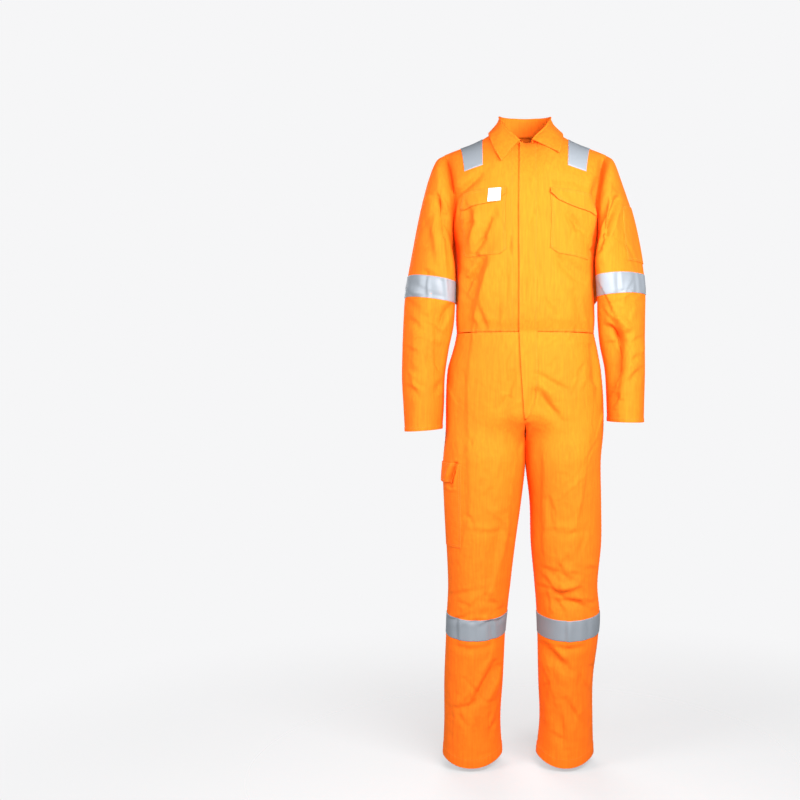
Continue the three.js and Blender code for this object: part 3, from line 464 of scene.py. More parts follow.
# Edges of the front where the cloth turns from a lit plane into a darker one. Each has its path
# downwards, the side that falls away, towards -X (-1) or +X (1), how far it falls and over what width.
TURNS = [
    ([(-110, -405), (-120, -440), (-125, -475)], -1, 6, 14),
    ([(-120, -485), (-130, -535), (-135, -630), (-130, -815), (-130, -900), (-155, -1005)], -1, 4.5, 17),
    ([(40, -700), (43, -820), (37, -880), (37, -945), (50, -1040)], -1, 2, 14),
    ([(155, -700), (130, -865), (120, -910), (115, -1005)], 1, 4.5, 17),
    ([(-20, -790), (-35, -865), (-40, -945), (-55, -1005), (-70, -1055), (-95, -1120)], 1, 4, 16),
    ([(-200, -195), (-192, -240), (-185, -300), (-182, -345)], 1, 8, 13),
    ([(-222, -400), (-220, -445), (-212, -490), (-208, -555), (-195, -580)], 1, 14, 14),
    ([(-262, -400), (-262, -680)], -1, 2, 14),
    ([(215, -445), (238, -490), (228, -530), (218, -565), (203, -610)], -1, 33, 22),
]
# Fine creases that are scattered by a fixed seed: where, over what area, in which direction from the
# level in degrees, how many, and how high they are
CREASED_AREAS = [
    ("front", (0, -300), (150, 150), 100, 26, 0.9),
    ("front", (0, -560), (150, 90), 70, 24, 0.9),
    ("front", (-95, -860), (70, 170), 95, 22, 0.8),
    ("front", (95, -860), (70, 170), 85, 22, 0.8),
    ("front", (-100, -1090), (60, 60), 20, 14, 1.3),
    ("front", (96, -1080), (60, 60), 160, 16, 1.4),
    ("front", (-115, -1320), (60, 110), 75, 16, 1.1),
    ("front", (100, -1320), (60, 110), 105, 16, 1.1),
    ("front", (-240, -480), (40, 120), 150, 22, 1.3),
    ("front", (240, -480), (40, 120), 30, 22, 1.3),
    ("front", (-225, -200), (30, 90), 60, 10, 1.0),
    ("front", (225, -200), (30, 90), 120, 10, 1.0),
    ("back", (0, -250), (160, 130), 80, 24, 1.0),
    ("back", (0, -620), (160, 120), 60, 24, 1.0),
    ("back", (-100, -1050), (60, 90), 10, 22, 1.5),
    ("back", (100, -1050), (60, 90), 170, 22, 1.5),
    ("back", (-115, -1330), (60, 100), 80, 12, 1.1),
    ("back", (100, -1330), (60, 100), 100, 12, 1.1),
    ("back", (-245, -440), (40, 140), 30, 22, 1.4),
    ("back", (245, -440), (40, 140), 150, 22, 1.4),
]
CREASE_SEED = 11
CREASE_STRENGTH = 1.5
CREASE_TURN = 28  # how far, in degrees, a crease mostly lies off its area's direction
CREASE_HALF_LENGTH = (12, 38)
CREASE_BEND = 6
CREASE_WIDTH = (4, 8)
SHARE_OF_TROUGHS = 0.65


def scattered_creases():
    chance = np.random.default_rng(CREASE_SEED)
    found = []
    for seen, centre, spread, direction, count, height in CREASED_AREAS:
        for _ in range(count):
            x, z = np.array(centre) + np.array(spread) * chance.uniform(-1, 1, 2)
            angle = math.radians(direction + chance.normal(0, CREASE_TURN))
            half = chance.uniform(*CREASE_HALF_LENGTH)
            bend = chance.uniform(-CREASE_BEND, CREASE_BEND)
            dx, dz = half * math.cos(angle), half * math.sin(angle)
            middle = (x - bend * math.sin(angle), z + bend * math.cos(angle))
            tall = CREASE_STRENGTH * height * chance.uniform(0.4, 1.3)
            tall *= -1 if chance.random() < SHARE_OF_TROUGHS else 1
            path = [(x - dx, z - dz), middle, (x + dx, z + dz)]
            found.append((seen, path, tall, chance.uniform(*CREASE_WIDTH)))
    return found


FOLDS += scattered_creases()
print(len(FOLDS), "folds and", len(TURNS), "turned edges")

# %% [markdown]
# ## Height of the folds
#
# A real fold is steep on the side that carries weight and gentle on the other, and it fades out at both
# ends. A sculpting brush could draw it. Here the height is a function of the distance from the fold's
# path, so that every panel can ask for it at its own points and both sides of a seam get the same.

# %%
STEEP = 0.6
GENTLE = 1.35
UPHILL = np.array([0.45, 0.89])  # across and up the cloth, the way that the steep side of a trough is
DEEPER = 1.35  # soft light flattens folds, so the shells have them deeper than the solids do
FAINTEST_END = 0.4  # the share of its height that a fold keeps at its ends
FAR = 1e9


def fold_profile(away):
    """Height of a fold at a distance in its own widths: 1 in its middle and below 0 beside it."""
    return np.exp(-np.abs(away) ** 1.7) - 0.25 * np.exp(-((away - 1.9) ** 2))


def nearest_on_path(points, path):
    """For flat points: the way and distance from a path, the share of the path there and its run."""
    corners = np.array(path, float)
    lengths = np.hypot(*np.diff(corners, axis=0).T)
    distance = np.full(len(points), FAR)
    along = np.zeros(len(points))
    way = np.zeros((len(points), 2))
    run_there = np.zeros((len(points), 2))
    passed = 0
    for a, b, length in zip(corners, corners[1:], lengths):
        run = b - a
        share = clamp(((points - a) @ run) / length**2)
        offset = points - a - share[:, None] * run
        closer = np.hypot(*offset.T) < distance
        distance = np.where(closer, np.hypot(*offset.T), distance)
        along = np.where(closer, (passed + share * length) / lengths.sum(), along)
        way[closer] = offset[closer]
        run_there[closer] = run
        passed += length
    return way, distance, along, run_there


def fold_height(points, normals):
    """Folds and turned edges together, in millimetres out of the cloth."""
    total = np.zeros(len(points))
    flat = points[:, [0, 2]]

    def near_path(path, width):
        low, high = np.min(path, axis=0), np.max(path, axis=0)
        return np.all((flat > low - 4 * width) & (flat < high + 4 * width), axis=1)

    def facing(seen, near):
        """Folds fade where the cloth turns away from the side that they are seen from."""
        return ease((-2 if seen == "front" else 2) * normals[near, 1])

    for seen, path, height, width in FOLDS:
        near = near_path(path, width)
        if near.any():
            way, distance, along, _ = nearest_on_path(flat[near], path)
            steep = (way @ UPHILL) * height < 0
            away = distance / (width * np.where(steep, STEEP, GENTLE))
            fading = FAINTEST_END + (1 - FAINTEST_END) * np.sin(math.pi * along)
            total[near] += DEEPER * facing(seen, near) * height * fading * fold_profile(away)
    for path, falls, depth, width in TURNS:
        near = near_path(path, 2 * width)
        way, distance, along, run = nearest_on_path(flat[near], path)
        # Every path runs downwards, so its left is towards +X
        left = run[:, 0] * way[:, 1] - run[:, 1] * way[:, 0]
        beyond = np.where(left * falls > 0, distance / width, 0)
        fading = np.sin(math.pi * clamp(along * 0.96 + 0.02)) ** 0.4
        total[near] -= facing("front", near) * depth * fading * beyond * np.exp(1 - beyond)
    return total


# %% [markdown]
# ## Points on the cloth
#
# On a garment, pockets and tapes follow every fold of the panel under them. They could be projected
# onto it afterwards, which slips at edges. Here every piece asks one function for its points and for the
# direction out of the cloth there. The folds fade where a seam keeps the cloth flat, so that two panels
# still meet on one line. Under the arm both the bodice and the sleeve sink towards their seam, which
# makes the dark valley between them.

# %%
U_STEP = 0.004
VALLEY_DEPTH = 19
VALLEY_WIDTH = 10
VALLEY_FULL_Y = 26  # the valley is full this far before and behind the armpit
SHARED_WIDTH = 7  # how far from the armhole both pieces share one normal
TOP_OF_VALLEY = {"v": 1.85, "length": 0.4, "share": 0.15}
ARMHOLE_MIDDLE = np.array([0, 4, -150])
# Behind each side seam the back hangs a little wider, which closes the view between body and sleeve
BACK_SPREAD = 20
SPREAD_Y = (4, 80)
SPREAD_Z = (-415, -215)
SPREAD_FADE = 30


def bodice_fading(u, v):
    """Folds fade towards the side seam beside the armhole."""
    return 1 - ease((v - ARMPIT_V + 0.2) / 0.2) * (1 - ease((1 - u) / 0.2))


def from_bodice(face):
    """For points of the bodice: the nearest part of the armhole and its v."""
    def nearest(side, u, v):
        edge_v = np.maximum(v, ARMPIT_V)
        return bodice(face, np.ones_like(u), edge_v), edge_v
    return nearest


def from_sleeve(side, u, v):
    return armhole(u % 1), armhole_v(u % 1)


def sink_at_armhole(points, normals, edge, edge_v):
    """Turns the normals towards one that both pieces share, and sinks the cloth under the arm."""
    away = np.linalg.norm(points - edge, axis=1)
    shared = (edge - ARMHOLE_MIDDLE) * (0, 1, 1)
    shared /= np.linalg.norm(shared, axis=1, keepdims=True)
    near = np.exp(-((away / SHARED_WIDTH) ** 2))[:, None]
    turned = mix(normals, shared, near)
    turned /= np.linalg.norm(turned, axis=1, keepdims=True)
    below_top = ease((TOP_OF_VALLEY["v"] - edge_v) / TOP_OF_VALLEY["length"])
    low_on_arm = mix(TOP_OF_VALLEY["share"], 1, below_top) * clamp(np.abs(edge[:, 1]) / VALLEY_FULL_Y)
    return VALLEY_DEPTH * low_on_arm * np.exp(-((away / VALLEY_WIDTH) ** 2)), turned


def bodice_surface(face, way):
    def shape(side, u, v):
        return bodice(face, u, v)
    return shape, (0, 1), (0, 2), 0.004, way, bodice_fading, from_bodice(face)


# Shape, range of u and of v, step of v, which way the normal points, fading of the folds, armhole
SURFACES = {
    "front": bodice_surface("front", 1),
    "back": bodice_surface("back", -1),
    "sleeve": (sleeve, (-1, 2), (0, CUFF_ROW), 0.004, -1, lambda u, v: ease(v), from_sleeve),
    "trouser": (trouser, (0, 1), (HEM_Z, WAIST_Z), 1, 1, lambda u, v: np.ones_like(u), None),
}


def on_cloth(kind, side, u, v):
    """Points and outward normals of a panel at arrays of u and v, with its folds."""
    shape, u_range, v_range, v_step, way, fading, armhole_from = SURFACES[kind]
    u, v = np.broadcast_arrays(np.asarray(u, float), np.asarray(v, float))
    size = u.shape
    u, v = np.clip(u.ravel(), *u_range), np.clip(v.ravel(), *v_range)
    mirror = np.array([1 if side == "left" else -1, 1, 1])
    uu = np.clip(u, u_range[0] + U_STEP, u_range[1] - U_STEP)
    vv = np.clip(v, v_range[0] + v_step, v_range[1] - v_step)
    across = shape(side, uu + U_STEP, vv) - shape(side, uu - U_STEP, vv)
    along = shape(side, uu, vv + v_step) - shape(side, uu, vv - v_step)
    normals = np.cross(across, along)
    normals *= way * mirror / np.maximum(np.linalg.norm(normals, axis=1, keepdims=True), 1e-9)
    points = shape(side, u, v) * mirror
    height = fold_height(points, normals) * fading(u, v)
    sunk = np.zeros(len(points))
    if armhole_from is not None:
        edge, edge_v = armhole_from(side, u, v)
        sunk, normals = sink_at_armhole(points, normals, edge * mirror, edge_v)
    points = points + normals * height[:, None]
    if kind == "back":
        _, y, z = points.T
        behind_seam = np.sin(math.pi * clamp((y - SPREAD_Y[0]) / (SPREAD_Y[1] - SPREAD_Y[0])))
        level = ease((z - SPREAD_Z[0]) / SPREAD_FADE) * ease((SPREAD_Z[1] - z) / SPREAD_FADE)
        points[:, 0] += mirror[0] * BACK_SPREAD * behind_seam * ease((u - 0.6) / 0.2) * level
    points[:, 1] -= np.sign(points[:, 1]) * sunk
    return points.reshape(*size, 3), normals.reshape(*size, 3)


def cloth_grid(kind, side, u, v):
    """A grid with a column for each u and a row for each v."""
    return on_cloth(kind, side, *np.meshgrid(u, v))


def grid_normals(points):
    """Unit normals of a grid of points, from its neighbours along both directions."""
    normals = np.cross(np.gradient(points, axis=1), np.gradient(points, axis=0))
    return normals / np.maximum(np.linalg.norm(normals, axis=-1, keepdims=True), 1e-9)


EDGE_LINES = np.array([0, 1, 2, 3.2, 5, 6.5, 8, 10.5])  # distances of the grid lines beside a sewn edge
print("the cloth's grid starts", EDGE_LINES, "mm from a sewn edge")


def lines(length, cell, fine_first=True, fine_last=True):
    """Shares from 0 to 1 for grid lines, one cell apart, with narrower cells along a sewn edge."""
    found = np.linspace(0, length, max(2, round(length / cell)) + 1)
    if fine_first:
        found = np.concatenate([EDGE_LINES, found[found > EDGE_LINES[-1] + cell / 2]])
    if fine_last:
        kept = found[found < length - EDGE_LINES[-1] - cell / 2]
        found = np.concatenate([kept, (length - EDGE_LINES)[::-1]])
    return found / length


# %% [markdown]
# ## Nodes
#
# A material is a small tree of nodes, as the shader editor shows it. It could be set up by hand and
# loaded from a file, but a tree written in the script can be read. Colours are written as they look on
# screen, and one function turns them into the linear values that Blender works with.

# %%
def srgb(code):
    channels = [int(code[i : i + 2], 16) / 255 for i in (1, 3, 5)]
    linear = [c / 12.92 if c <= 0.04045 else ((c + 0.055) / 1.055) ** 2.4 for c in channels]
    return (*linear, 1)


def set_inputs(tree, node, values):
    """Puts constants or links into a node's inputs."""
    for name, value in values.items():
        if isinstance(value, bpy.types.NodeSocket):
            tree.links.new(value, node.inputs[name])
        else:
            node.inputs[name].default_value = value


def add_node(tree, kind, values=None, **settings):
    node = tree.nodes.new(kind)
    for name, value in settings.items():
        setattr(node, name, value)
    set_inputs(tree, node, values or {})
    return node


def new_material(name):
    material = bpy.data.materials.new(name)
    material.use_nodes = True
    print("material:", name)
    return material, material.node_tree, material.node_tree.nodes["Principled BSDF"]


def per_metre(size_mm):
    """The scale of a pattern whose cells have this size."""
    return 1 / (size_mm * MM)


# %% [markdown]
# ## Woven cloth
#
# The suit is cotton twill, dyed orange after weaving. A picture of cloth could be wrapped round it, but a
# picture holds its own light and repeats. Instead four patterns are mixed. Broad uneven patches and long
# thin yarns vary the dye, diagonal lines are the twill, and a soft crumple keeps the cloth uneven
# between the folds. The twill follows the piece's UVs, as it does on a cut panel.

# %%
DYE_PATCH_MM = 111.1
YARN_MM = 4  # real yarns are under 1 mm and would be too fine to see
YARN_STRETCH = (1, 1, 0.07)  # yarns run up and down the cloth
SHARE_OF_YARN = 0.6
CRUMPLE_MM = 21.74
CRUMPLE_HEIGHT_MM = 5
TWILL_HEIGHT_MM = 0.15
TWILL_COARSER = 2 * math.sqrt(2)  # the twill is drawn this much wider than real, or it would not show


def woven_cloth(name, color, dark, roughness, twill_mm, sheen):
    material, tree, shader = new_material(name)
    place = add_node(tree, "ShaderNodeTexCoord")
    broad = {"Vector": place.outputs["Object"], "Scale": per_metre(DYE_PATCH_MM), "Detail": 5.0}
    uneven = add_node(tree, "ShaderNodeTexNoise", broad)
    squeezed = {0: place.outputs["Object"], 1: YARN_STRETCH}
    stretched = add_node(tree, "ShaderNodeVectorMath", squeezed, operation="MULTIPLY")
    fine = {"Vector": stretched.outputs["Vector"], "Scale": per_metre(YARN_MM), "Detail": 2.0}
    yarns = add_node(tree, "ShaderNodeTexNoise", fine)
    patterns = {0: SHARE_OF_YARN, 2: uneven.outputs["Fac"], 3: yarns.outputs["Fac"]}
    both = add_node(tree, "ShaderNodeMix", patterns)
    contrast = {"Value": both.outputs[0], "From Min": 0.35, "From Max": 0.65}
    dye = add_node(tree, "ShaderNodeMapRange", contrast)
    colors = {0: dye.outputs["Result"], 6: srgb(dark), 7: srgb(color)}
    tint = add_node(tree, "ShaderNodeMix", colors, data_type="RGBA")
    # A wave texture has 10 / TAU bands for each unit of scale, and its diagonal crosses two axes at once
    bands = TAU / 10 / (math.sqrt(2) * TWILL_COARSER * twill_mm * MM)
    waves = {"Vector": place.outputs["UV"], "Scale": bands, "Distortion": 0.4}
    twill = add_node(tree, "ShaderNodeTexWave", waves, bands_direction="DIAGONAL")
    ribs = {"Height": twill.outputs["Fac"], "Strength": 0.25, "Distance": TWILL_HEIGHT_MM * MM}
    weave = add_node(tree, "ShaderNodeBump", ribs)
    soft = {"Vector": place.outputs["Object"], "Scale": per_metre(CRUMPLE_MM), "Detail": 3.0}
    crumple = add_node(tree, "ShaderNodeTexNoise", soft)
    hand = {"Height": crumple.outputs["Fac"], "Strength": 0.5, "Distance": CRUMPLE_HEIGHT_MM * MM}
    wrinkle = add_node(tree, "ShaderNodeBump", {**hand, "Normal": weave.outputs["Normal"]})
    finish = {
        "Base Color": tint.outputs[2],
        "Roughness": roughness,
        "Sheen Weight": sheen,
        "Sheen Roughness": 0.5,
        "Sheen Tint": srgb(color),
        "Specular IOR Level": 0.2,
        "Normal": wrinkle.outputs["Normal"],
    }
    set_inputs(tree, shader, finish)
    return material


# Cotton twill, woven and then dyed: matt, with diagonal lines and a soft glow where light grazes its fuzz
# (colour, darker colour, roughness, twill in millimetres, sheen)
TWILL = woven_cloth("orange cotton twill", "#F97210", "#F3670C", 0.85, 1.2, 0.25)
# A badge woven of white polyester: a closer weave, smoother and more even than the twill
PATCH = woven_cloth("white woven patch", "#FAFAFC", "#EFEFF3", 0.8, 0.8, 0.1)
# Woven zip tape of dyed polyester: a closer weave and a duller orange than the cotton
ZIP_CLOTH = woven_cloth("zip tape", "#E0731F", "#D56A1A", 0.8, 0.8, 0.1)

# %% [markdown]
# ## Reflective tape and thread
#
# The tape is a grey backing with millions of glass beads pressed into it, which send light back to where
# it comes from. A shader that does the same would only show beside the lamp, so the tape is a plain grey
# here whose grain comes from a cell pattern. The thread is spun polyester and needs no pattern, because
# every stitch is modelled.

# %%
BEAD_MM = 1 / 0.9  # real beads are under 0.1 mm and would be too fine to see
BEAD_HEIGHT_MM = 0.2


def reflective_tape(name, color):
    material, tree, shader = new_material(name)
    place = add_node(tree, "ShaderNodeTexCoord")
    cells = {"Vector": place.outputs["Object"], "Scale": per_metre(BEAD_MM)}
    beads = add_node(tree, "ShaderNodeTexVoronoi", cells)
    between = {"Value": beads.outputs["Distance"], "From Max": 0.7, "To Min": 0.45, "To Max": 0.65}
    grain = add_node(tree, "ShaderNodeMapRange", between)
    height = {"Height": beads.outputs["Distance"], "Strength": 0.3, "Distance": BEAD_HEIGHT_MM * MM}
    bump = add_node(tree, "ShaderNodeBump", height)
    finish = {
        "Base Color": srgb(color),
        "Metallic": 0.1,
        "Roughness": grain.outputs["Result"],
        "Normal": bump.outputs["Normal"],
    }
    set_inputs(tree, shader, finish)
    return material


def thread_material(name, color):
    material, tree, shader = new_material(name)
    set_inputs(tree, shader, {"Base Color": srgb(color), "Roughness": 0.55})
    return material


# Glass beads on a grey backing: flat grey with a fine grain, and a little glossier than cloth
SILVER = reflective_tape("silver reflective tape", "#82888F")
# Spun polyester, dyed like the cloth: a soft shine, so that a row of stitches catches the light
ORANGE_THREAD = thread_material("orange thread", "#E9701B")
# The same thread in grey, for the tape
GREY_THREAD = thread_material("grey thread", "#8F949C")

# %% [markdown]
# ## From a grid to a piece of cloth
#
# Cloth has a thickness, which shows at every free edge. A Solidify modifier could give it one, the same
# everywhere. Here a shell is two copies of the grid, the cloth's outside and inside, joined round the
# rim, because then each edge can be sunk, rounded or closed as its seam needs. A seam shows as a groove
# between two rounded edges. UVs are the grid's own lengths in metres, and the weave follows them.

# %%
ALL_EDGES = ("start", "end", "first", "last")


def edge_distance(points):
    """How far each grid point is from the four edges, measured on the cloth along the grid lines."""
    across = np.zeros(points.shape[:2])
    across[:, 1:] = np.cumsum(np.linalg.norm(np.diff(points, axis=1), axis=-1), axis=1)
    along = np.zeros(points.shape[:2])
    along[1:] = np.cumsum(np.linalg.norm(np.diff(points, axis=0), axis=-1), axis=0)
    return dict(zip(ALL_EDGES, (across, across[:, -1:] - across, along, along[-1:] - along)))


def make_mesh(name, vertices, faces, uvs, material):
    mesh = bpy.data.meshes.new(name)
    mesh.from_pydata((np.asarray(vertices) * MM).tolist(), [], faces.tolist())
    layer = mesh.uv_layers.new(name="cloth")
    corners = np.empty(len(mesh.loops), int)
    mesh.loops.foreach_get("vertex_index", corners)
    layer.data.foreach_set("uv", (uvs[corners] * MM).astype(np.float32).ravel())
    mesh.polygons.foreach_set("use_smooth", np.ones(len(mesh.polygons), bool))
    mesh.materials.append(material)
    mesh.update()
    piece = bpy.data.objects.new(name, mesh)
    bpy.context.scene.collection.objects.link(piece)
    return piece


def volume_inside(vertices, faces):
    """A number that is below 0 where the faces point inwards."""
    a, b, c, d = (vertices[faces[:, k]] for k in range(4))
    return np.einsum("ij,ij->i", np.cross(c - a, d - b), (a + b + c + d) / 4).sum()


def shell(name, top, under, material, wrap=False):
    """A closed piece between two grids of points."""
    rows, columns = top.shape[:2]
    index = np.arange(rows * columns).reshape(rows, columns)
    if wrap:
        index = np.concatenate([index, index[:, :1]], axis=1)
    a, b = index[:-1, :-1].ravel(), index[:-1, 1:].ravel()
    c, d = index[1:, :-1].ravel(), index[1:, 1:].ravel()
    upper = np.stack([a, b, d, c], -1)
    count = rows * columns
    lower = upper[:, ::-1] + count
    rims = [(index[0], 1), (index[-1], -1)]
    if not wrap:
        rims += [(index[:, 0], -1), (index[:, -1], 1)]
    sides = []
    for rim, way in rims:
        i, j = rim[:-1], rim[1:]
        quads = np.stack([i, i + count, j + count, j], -1)
        sides.append(quads[:, ::way])
    vertices = np.concatenate([top.reshape(-1, 3), under.reshape(-1, 3)])
    faces = np.concatenate([upper, lower, *sides])
    if volume_inside(vertices, faces) < 0:
        faces = faces[:, ::-1]
    lengths = edge_distance(top)
    uvs = np.stack([lengths["start"].ravel(), lengths["first"].ravel()], -1)
    return make_mesh(name, vertices, faces, np.concatenate([uvs, uvs]), material)


# %% [markdown]
# ## Seams and their measures
#
# A machine draws the cloth in where it sews, which leaves small puckers beside the groove. Both could be
# painted as bump, but they show at the outline of a sleeve too, so they move the points. Each piece also
# notes where its rows of stitches run, for the threads at the end.

# %%
SEAM_DIP = {"depth": 1.1, "width": 1.5}
WAIST_DIP = 0.4  # the seam at the waist is pressed flatter than the others
INSEAM_DIP = 0.3
PUCKER = {"height": 0.5, "width": 7, "pitch": 11}
PUCKER_DRIFT = {"turn": 2.5, "length": 31}  # the pitch isn't even


def seam_dip(distance, depth=SEAM_DIP["depth"]):
    return -depth * np.exp(-((distance / SEAM_DIP["width"]) ** 2))


def puckers(along, away):
    """Ripples across a sewn seam, as the thread draws the cloth in."""
    drift = PUCKER_DRIFT["turn"] * np.sin(along / PUCKER_DRIFT["length"])
    height = PUCKER["height"] * np.exp(-away / PUCKER["width"])
    return height * np.sin(along * TAU / PUCKER["pitch"] + drift)


SEWING = {"orange": [], "grey": []}
SEAM_ROWS = (2, 6.5)  # a seam has two rows of stitches, this far from its edge


def sew(thread, top, normals, rows, wrap=False):
    """Keeps a line for each row of stitches: (edge, inset, and where it starts and ends as shares)."""
    away = edge_distance(top)
    grid = np.concatenate([top, normals], axis=-1)
    for edge, inset, start, end in rows:
        far, lanes = away[edge], grid
        if edge in ("first", "last"):
            far, lanes = far.T, lanes.swapaxes(0, 1)
        if edge in ("end", "last"):
            far, lanes = far[:, ::-1], lanes[:, ::-1]
        line = [[np.interp(inset, f, lane[:, k]) for k in range(6)] for f, lane in zip(far, lanes)]
        line = np.array(line)
        if wrap:
            line = np.concatenate([line, line[:1]])
        count = len(line)
        SEWING[thread].append(line[round(start * count) : round(end * count)])


def both_rows(*edges):
    return [(edge, inset, 0, 1) for edge in edges for inset in SEAM_ROWS]


def declare(piece, points, *nodes, slot="cotton_twill", held="hung", wrap=False):
    """Attaches the piece to the root body and hides the CAD nodes that it stands for. Its slot and its
    flat cut are not used.
    """
    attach(piece, "root")
    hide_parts(*nodes)


# %% [markdown]
# ## Bodice
#
# The front is in two halves, cut in one with the yoke over the shoulder, and the back is one piece. All
# three could be one mesh with painted seams, but a maker sews three, and only separate shells give seams
# that catch the light as real ones do. A sewn edge reaches a little deeper than the cloth is thick, so
# that no light comes through a seam.

# %%
CLOTH = 1.2
CELL = 4
SEAM_ALLOWANCE = 2.5
# About how long the cloth is in each direction, from which the grid lines are counted
GRID_LENGTHS = {
    "below chest": 300,
    "above chest": 190,
    "across": 265,
    "sleeve": 650,
    "trouser": 1000,
    "leg": 290,
}


def panel(name, points, normals, relief, stitches, wrap=False):
    away = edge_distance(points)
    ripples = puckers(away["start"], away["first"])
    if not wrap:
        ripples += puckers(away["first"], away["start"]) + puckers(away["first"], away["end"])
    top = points + normals * (relief + ripples)[..., None]
    border = np.min([away[edge] for edge in (("first",) if wrap else ("start", "end", "first"))], axis=0)
    depth = CLOTH + SEAM_ALLOWANCE * np.exp(-((border / SEAM_ALLOWANCE) ** 2))
    under = points - normals * depth[..., None]
    sew("orange", top, normals, stitches, wrap)
    return shell(name, top, under, TWILL, wrap)


below_chest = lines(GRID_LENGTHS["below chest"], CELL, True, False)
above_chest = 1 + lines(GRID_LENGTHS["above chest"], CELL, False, True)[1:]
bodice_rows = np.concatenate([below_chest, above_chest])
bodice_columns = lines(GRID_LENGTHS["across"], CELL)
armhole_start = np.searchsorted(bodice_rows, ARMPIT_V) / len(bodice_rows)
beside_armhole = [("end", inset, armhole_start, 1) for inset in SEAM_ROWS]

for side in ("right", "left"):
    points, normals = cloth_grid("front", side, bodice_columns, bodice_rows)
    away = edge_distance(points)
    relief = seam_dip(away["end"]) + seam_dip(away["first"], 0.6) + seam_dip(away["last"], WAIST_DIP)
    piece = panel(f"bodice_front_{side}", points, normals, relief, beside_armhole + both_rows("first"))
    declare(piece, points, f"front_{side}")

halves = [cloth_grid("back", side, bodice_columns, bodice_rows) for side in ("right", "left")]
points, normals = (np.concatenate([right[:, ::-1], left[:, 1:]], axis=1) for right, left in zip(*halves))
away = edge_distance(points)
relief = sum(seam_dip(away[edge]) for edge in ALL_EDGES)
piece = panel("bodice_back", points, normals, relief, both_rows(*ALL_EDGES))
declare(piece, points, "back")

# %% [markdown]
# ## Sleeves
#
# A set-in sleeve is one piece of cloth, closed under the arm and sewn into the armhole. A cylinder bent
# to the arm would leave a gap at the shoulder. This grid wraps round on itself and its first ring is the
# armhole, so the two always meet. The cuff is turned in, which makes a low step at the end.

# %%
CUFF_HEM = 10
CUFF_STEP = 0.8
LEG_HEM = 22
LEG_HEM_STEP = 0.9
HEM_EDGE = 1.5  # width of the slope of a hem's step
sleeve_columns = np.linspace(0, 1, 113)[:-1]
sleeve_rows = lines(GRID_LENGTHS["sleeve"], CELL) * CUFF_ROW

for side in ("right", "left"):
    points, normals = cloth_grid("sleeve", side, sleeve_columns, sleeve_rows)
    away = edge_distance(points)
    relief = seam_dip(away["first"]) + CUFF_STEP * ease((CUFF_HEM - away["last"]) / HEM_EDGE)
    cuff_row = [("last", CUFF_HEM - 2, 0, 1)]
    piece = panel(f"sleeve_body_{side}", points, normals, relief, cuff_row, wrap=True)
    declare(piece, points, f"sleeve_{side}", wrap=True)

# %% [markdown]
# ## Trousers
#
# Four pieces make the trousers, with seams down the outside, the inside and the middle. A leg could wrap
# round like a sleeve, but then the side seams would have to be drawn on. Two grids for each leg share
# their edges instead. The inside seam is pressed flatter, and the hem is turned in.

# %%
trouser_rows = mix(WAIST_Z, HEM_Z, lines(GRID_LENGTHS["trouser"], CELL))
half_round = lines(GRID_LENGTHS["leg"], CELL) / 2

for side in ("right", "left"):
    for face, columns in (("front", half_round), ("back", 0.5 + half_round)):
        points, normals = cloth_grid("trouser", side, columns, trouser_rows)
        away = edge_distance(points)
        outseam, inseam = ("end", "start") if face == "front" else ("start", "end")
        relief = seam_dip(away["first"], WAIST_DIP)
        relief += LEG_HEM_STEP * ease((LEG_HEM - away["last"]) / HEM_EDGE)
        relief += seam_dip(away[outseam]) + seam_dip(away[inseam], INSEAM_DIP)
        stitches = both_rows("first") + [("last", LEG_HEM - 2, 0, 1)]
        if face == "back":
            stitches += both_rows("start", "end")
        piece = panel(f"trouser_{face}_panel_{side}", points, normals, relief, stitches)
        declare(piece, points, f"trouser_{face}_{side}")

# %% [markdown]
# ## Collar
#
# The stand rises from the neckline and rolls over into the leaf. They could be two shells that meet at
# the roll, but a collar of this kind is cut in one and folded, so both are one shell. Each row of the
# table is a station round the neck, from a front end to the centre back. The two points differ, because
# the wearer's left one stands further out, and the back is the same on both sides.

# %%
COLLAR_BACK = [
    # column of the neckline, the fold, the lower edge of the leaf, how far the leaf bulges
    ("back", 0.27, (57, 27, 49), (85, 46, -6), -2),
    ("back", 0.223, (48, 43, 51), (73, 70, -11), 4),
    ("back", 0.17, (37, 53, 52), (57, 86, -14), 4),
    ("back", 0.108, (24, 59, 53), (38, 94, -17), 4),
    ("back", 0.055, (12, 62, 53), (19, 97, -18), 4),
    ("back", 0, (0, 63, 53), (0, 98, -18), 4),
]
COLLAR = {
    "right": [
        ("front", 0.055, (13, -67, -26), (55, -121, -84), 5),
        ("front", 0.108, (25, -63, -14), (60, -116, -74), 6),
        ("front", 0.17, (37, -56, -2), (68, -107, -60), 6),
        ("front", 0.223, (47, -45, 12), (76, -90, -42), 5),
        ("front", 0.27, (55, -28, 30), (85, -58, -14), -2),
        ("front", 0.311, (61, 0, 44), (88, -4, 4), -5),
        *COLLAR_BACK,
    ],
    "left": [
        ("front", 0.055, (16, -69, -25), (80, -108, -62), 4),
        ("front", 0.108, (26, -65, -13), (83, -102, -52), 5),
        ("front", 0.17, (37, -57, -1), (86, -92, -40), 5),
        ("front", 0.223, (47, -45, 12), (88, -77, -28), 5),
        ("front", 0.27, (55, -28, 28), (89, -50, -12), -4),
        ("front", 0.311, (59, 0, 43), (88, -4, 4), -6),
        *COLLAR_BACK,
    ],
}
COLLAR_ROLL = 1.5
COLLAR_HALF_CLOTH = 1
COLLAR_COLUMNS = 130
COLLAR_ROWS = {"stand": 8, "roll": 7, "leaf": 18}
STAND_SHARE = 0.93  # the rows of the stand end just below the roll
LEAF_START = 0.04
UP = np.array([0, 0, 1])


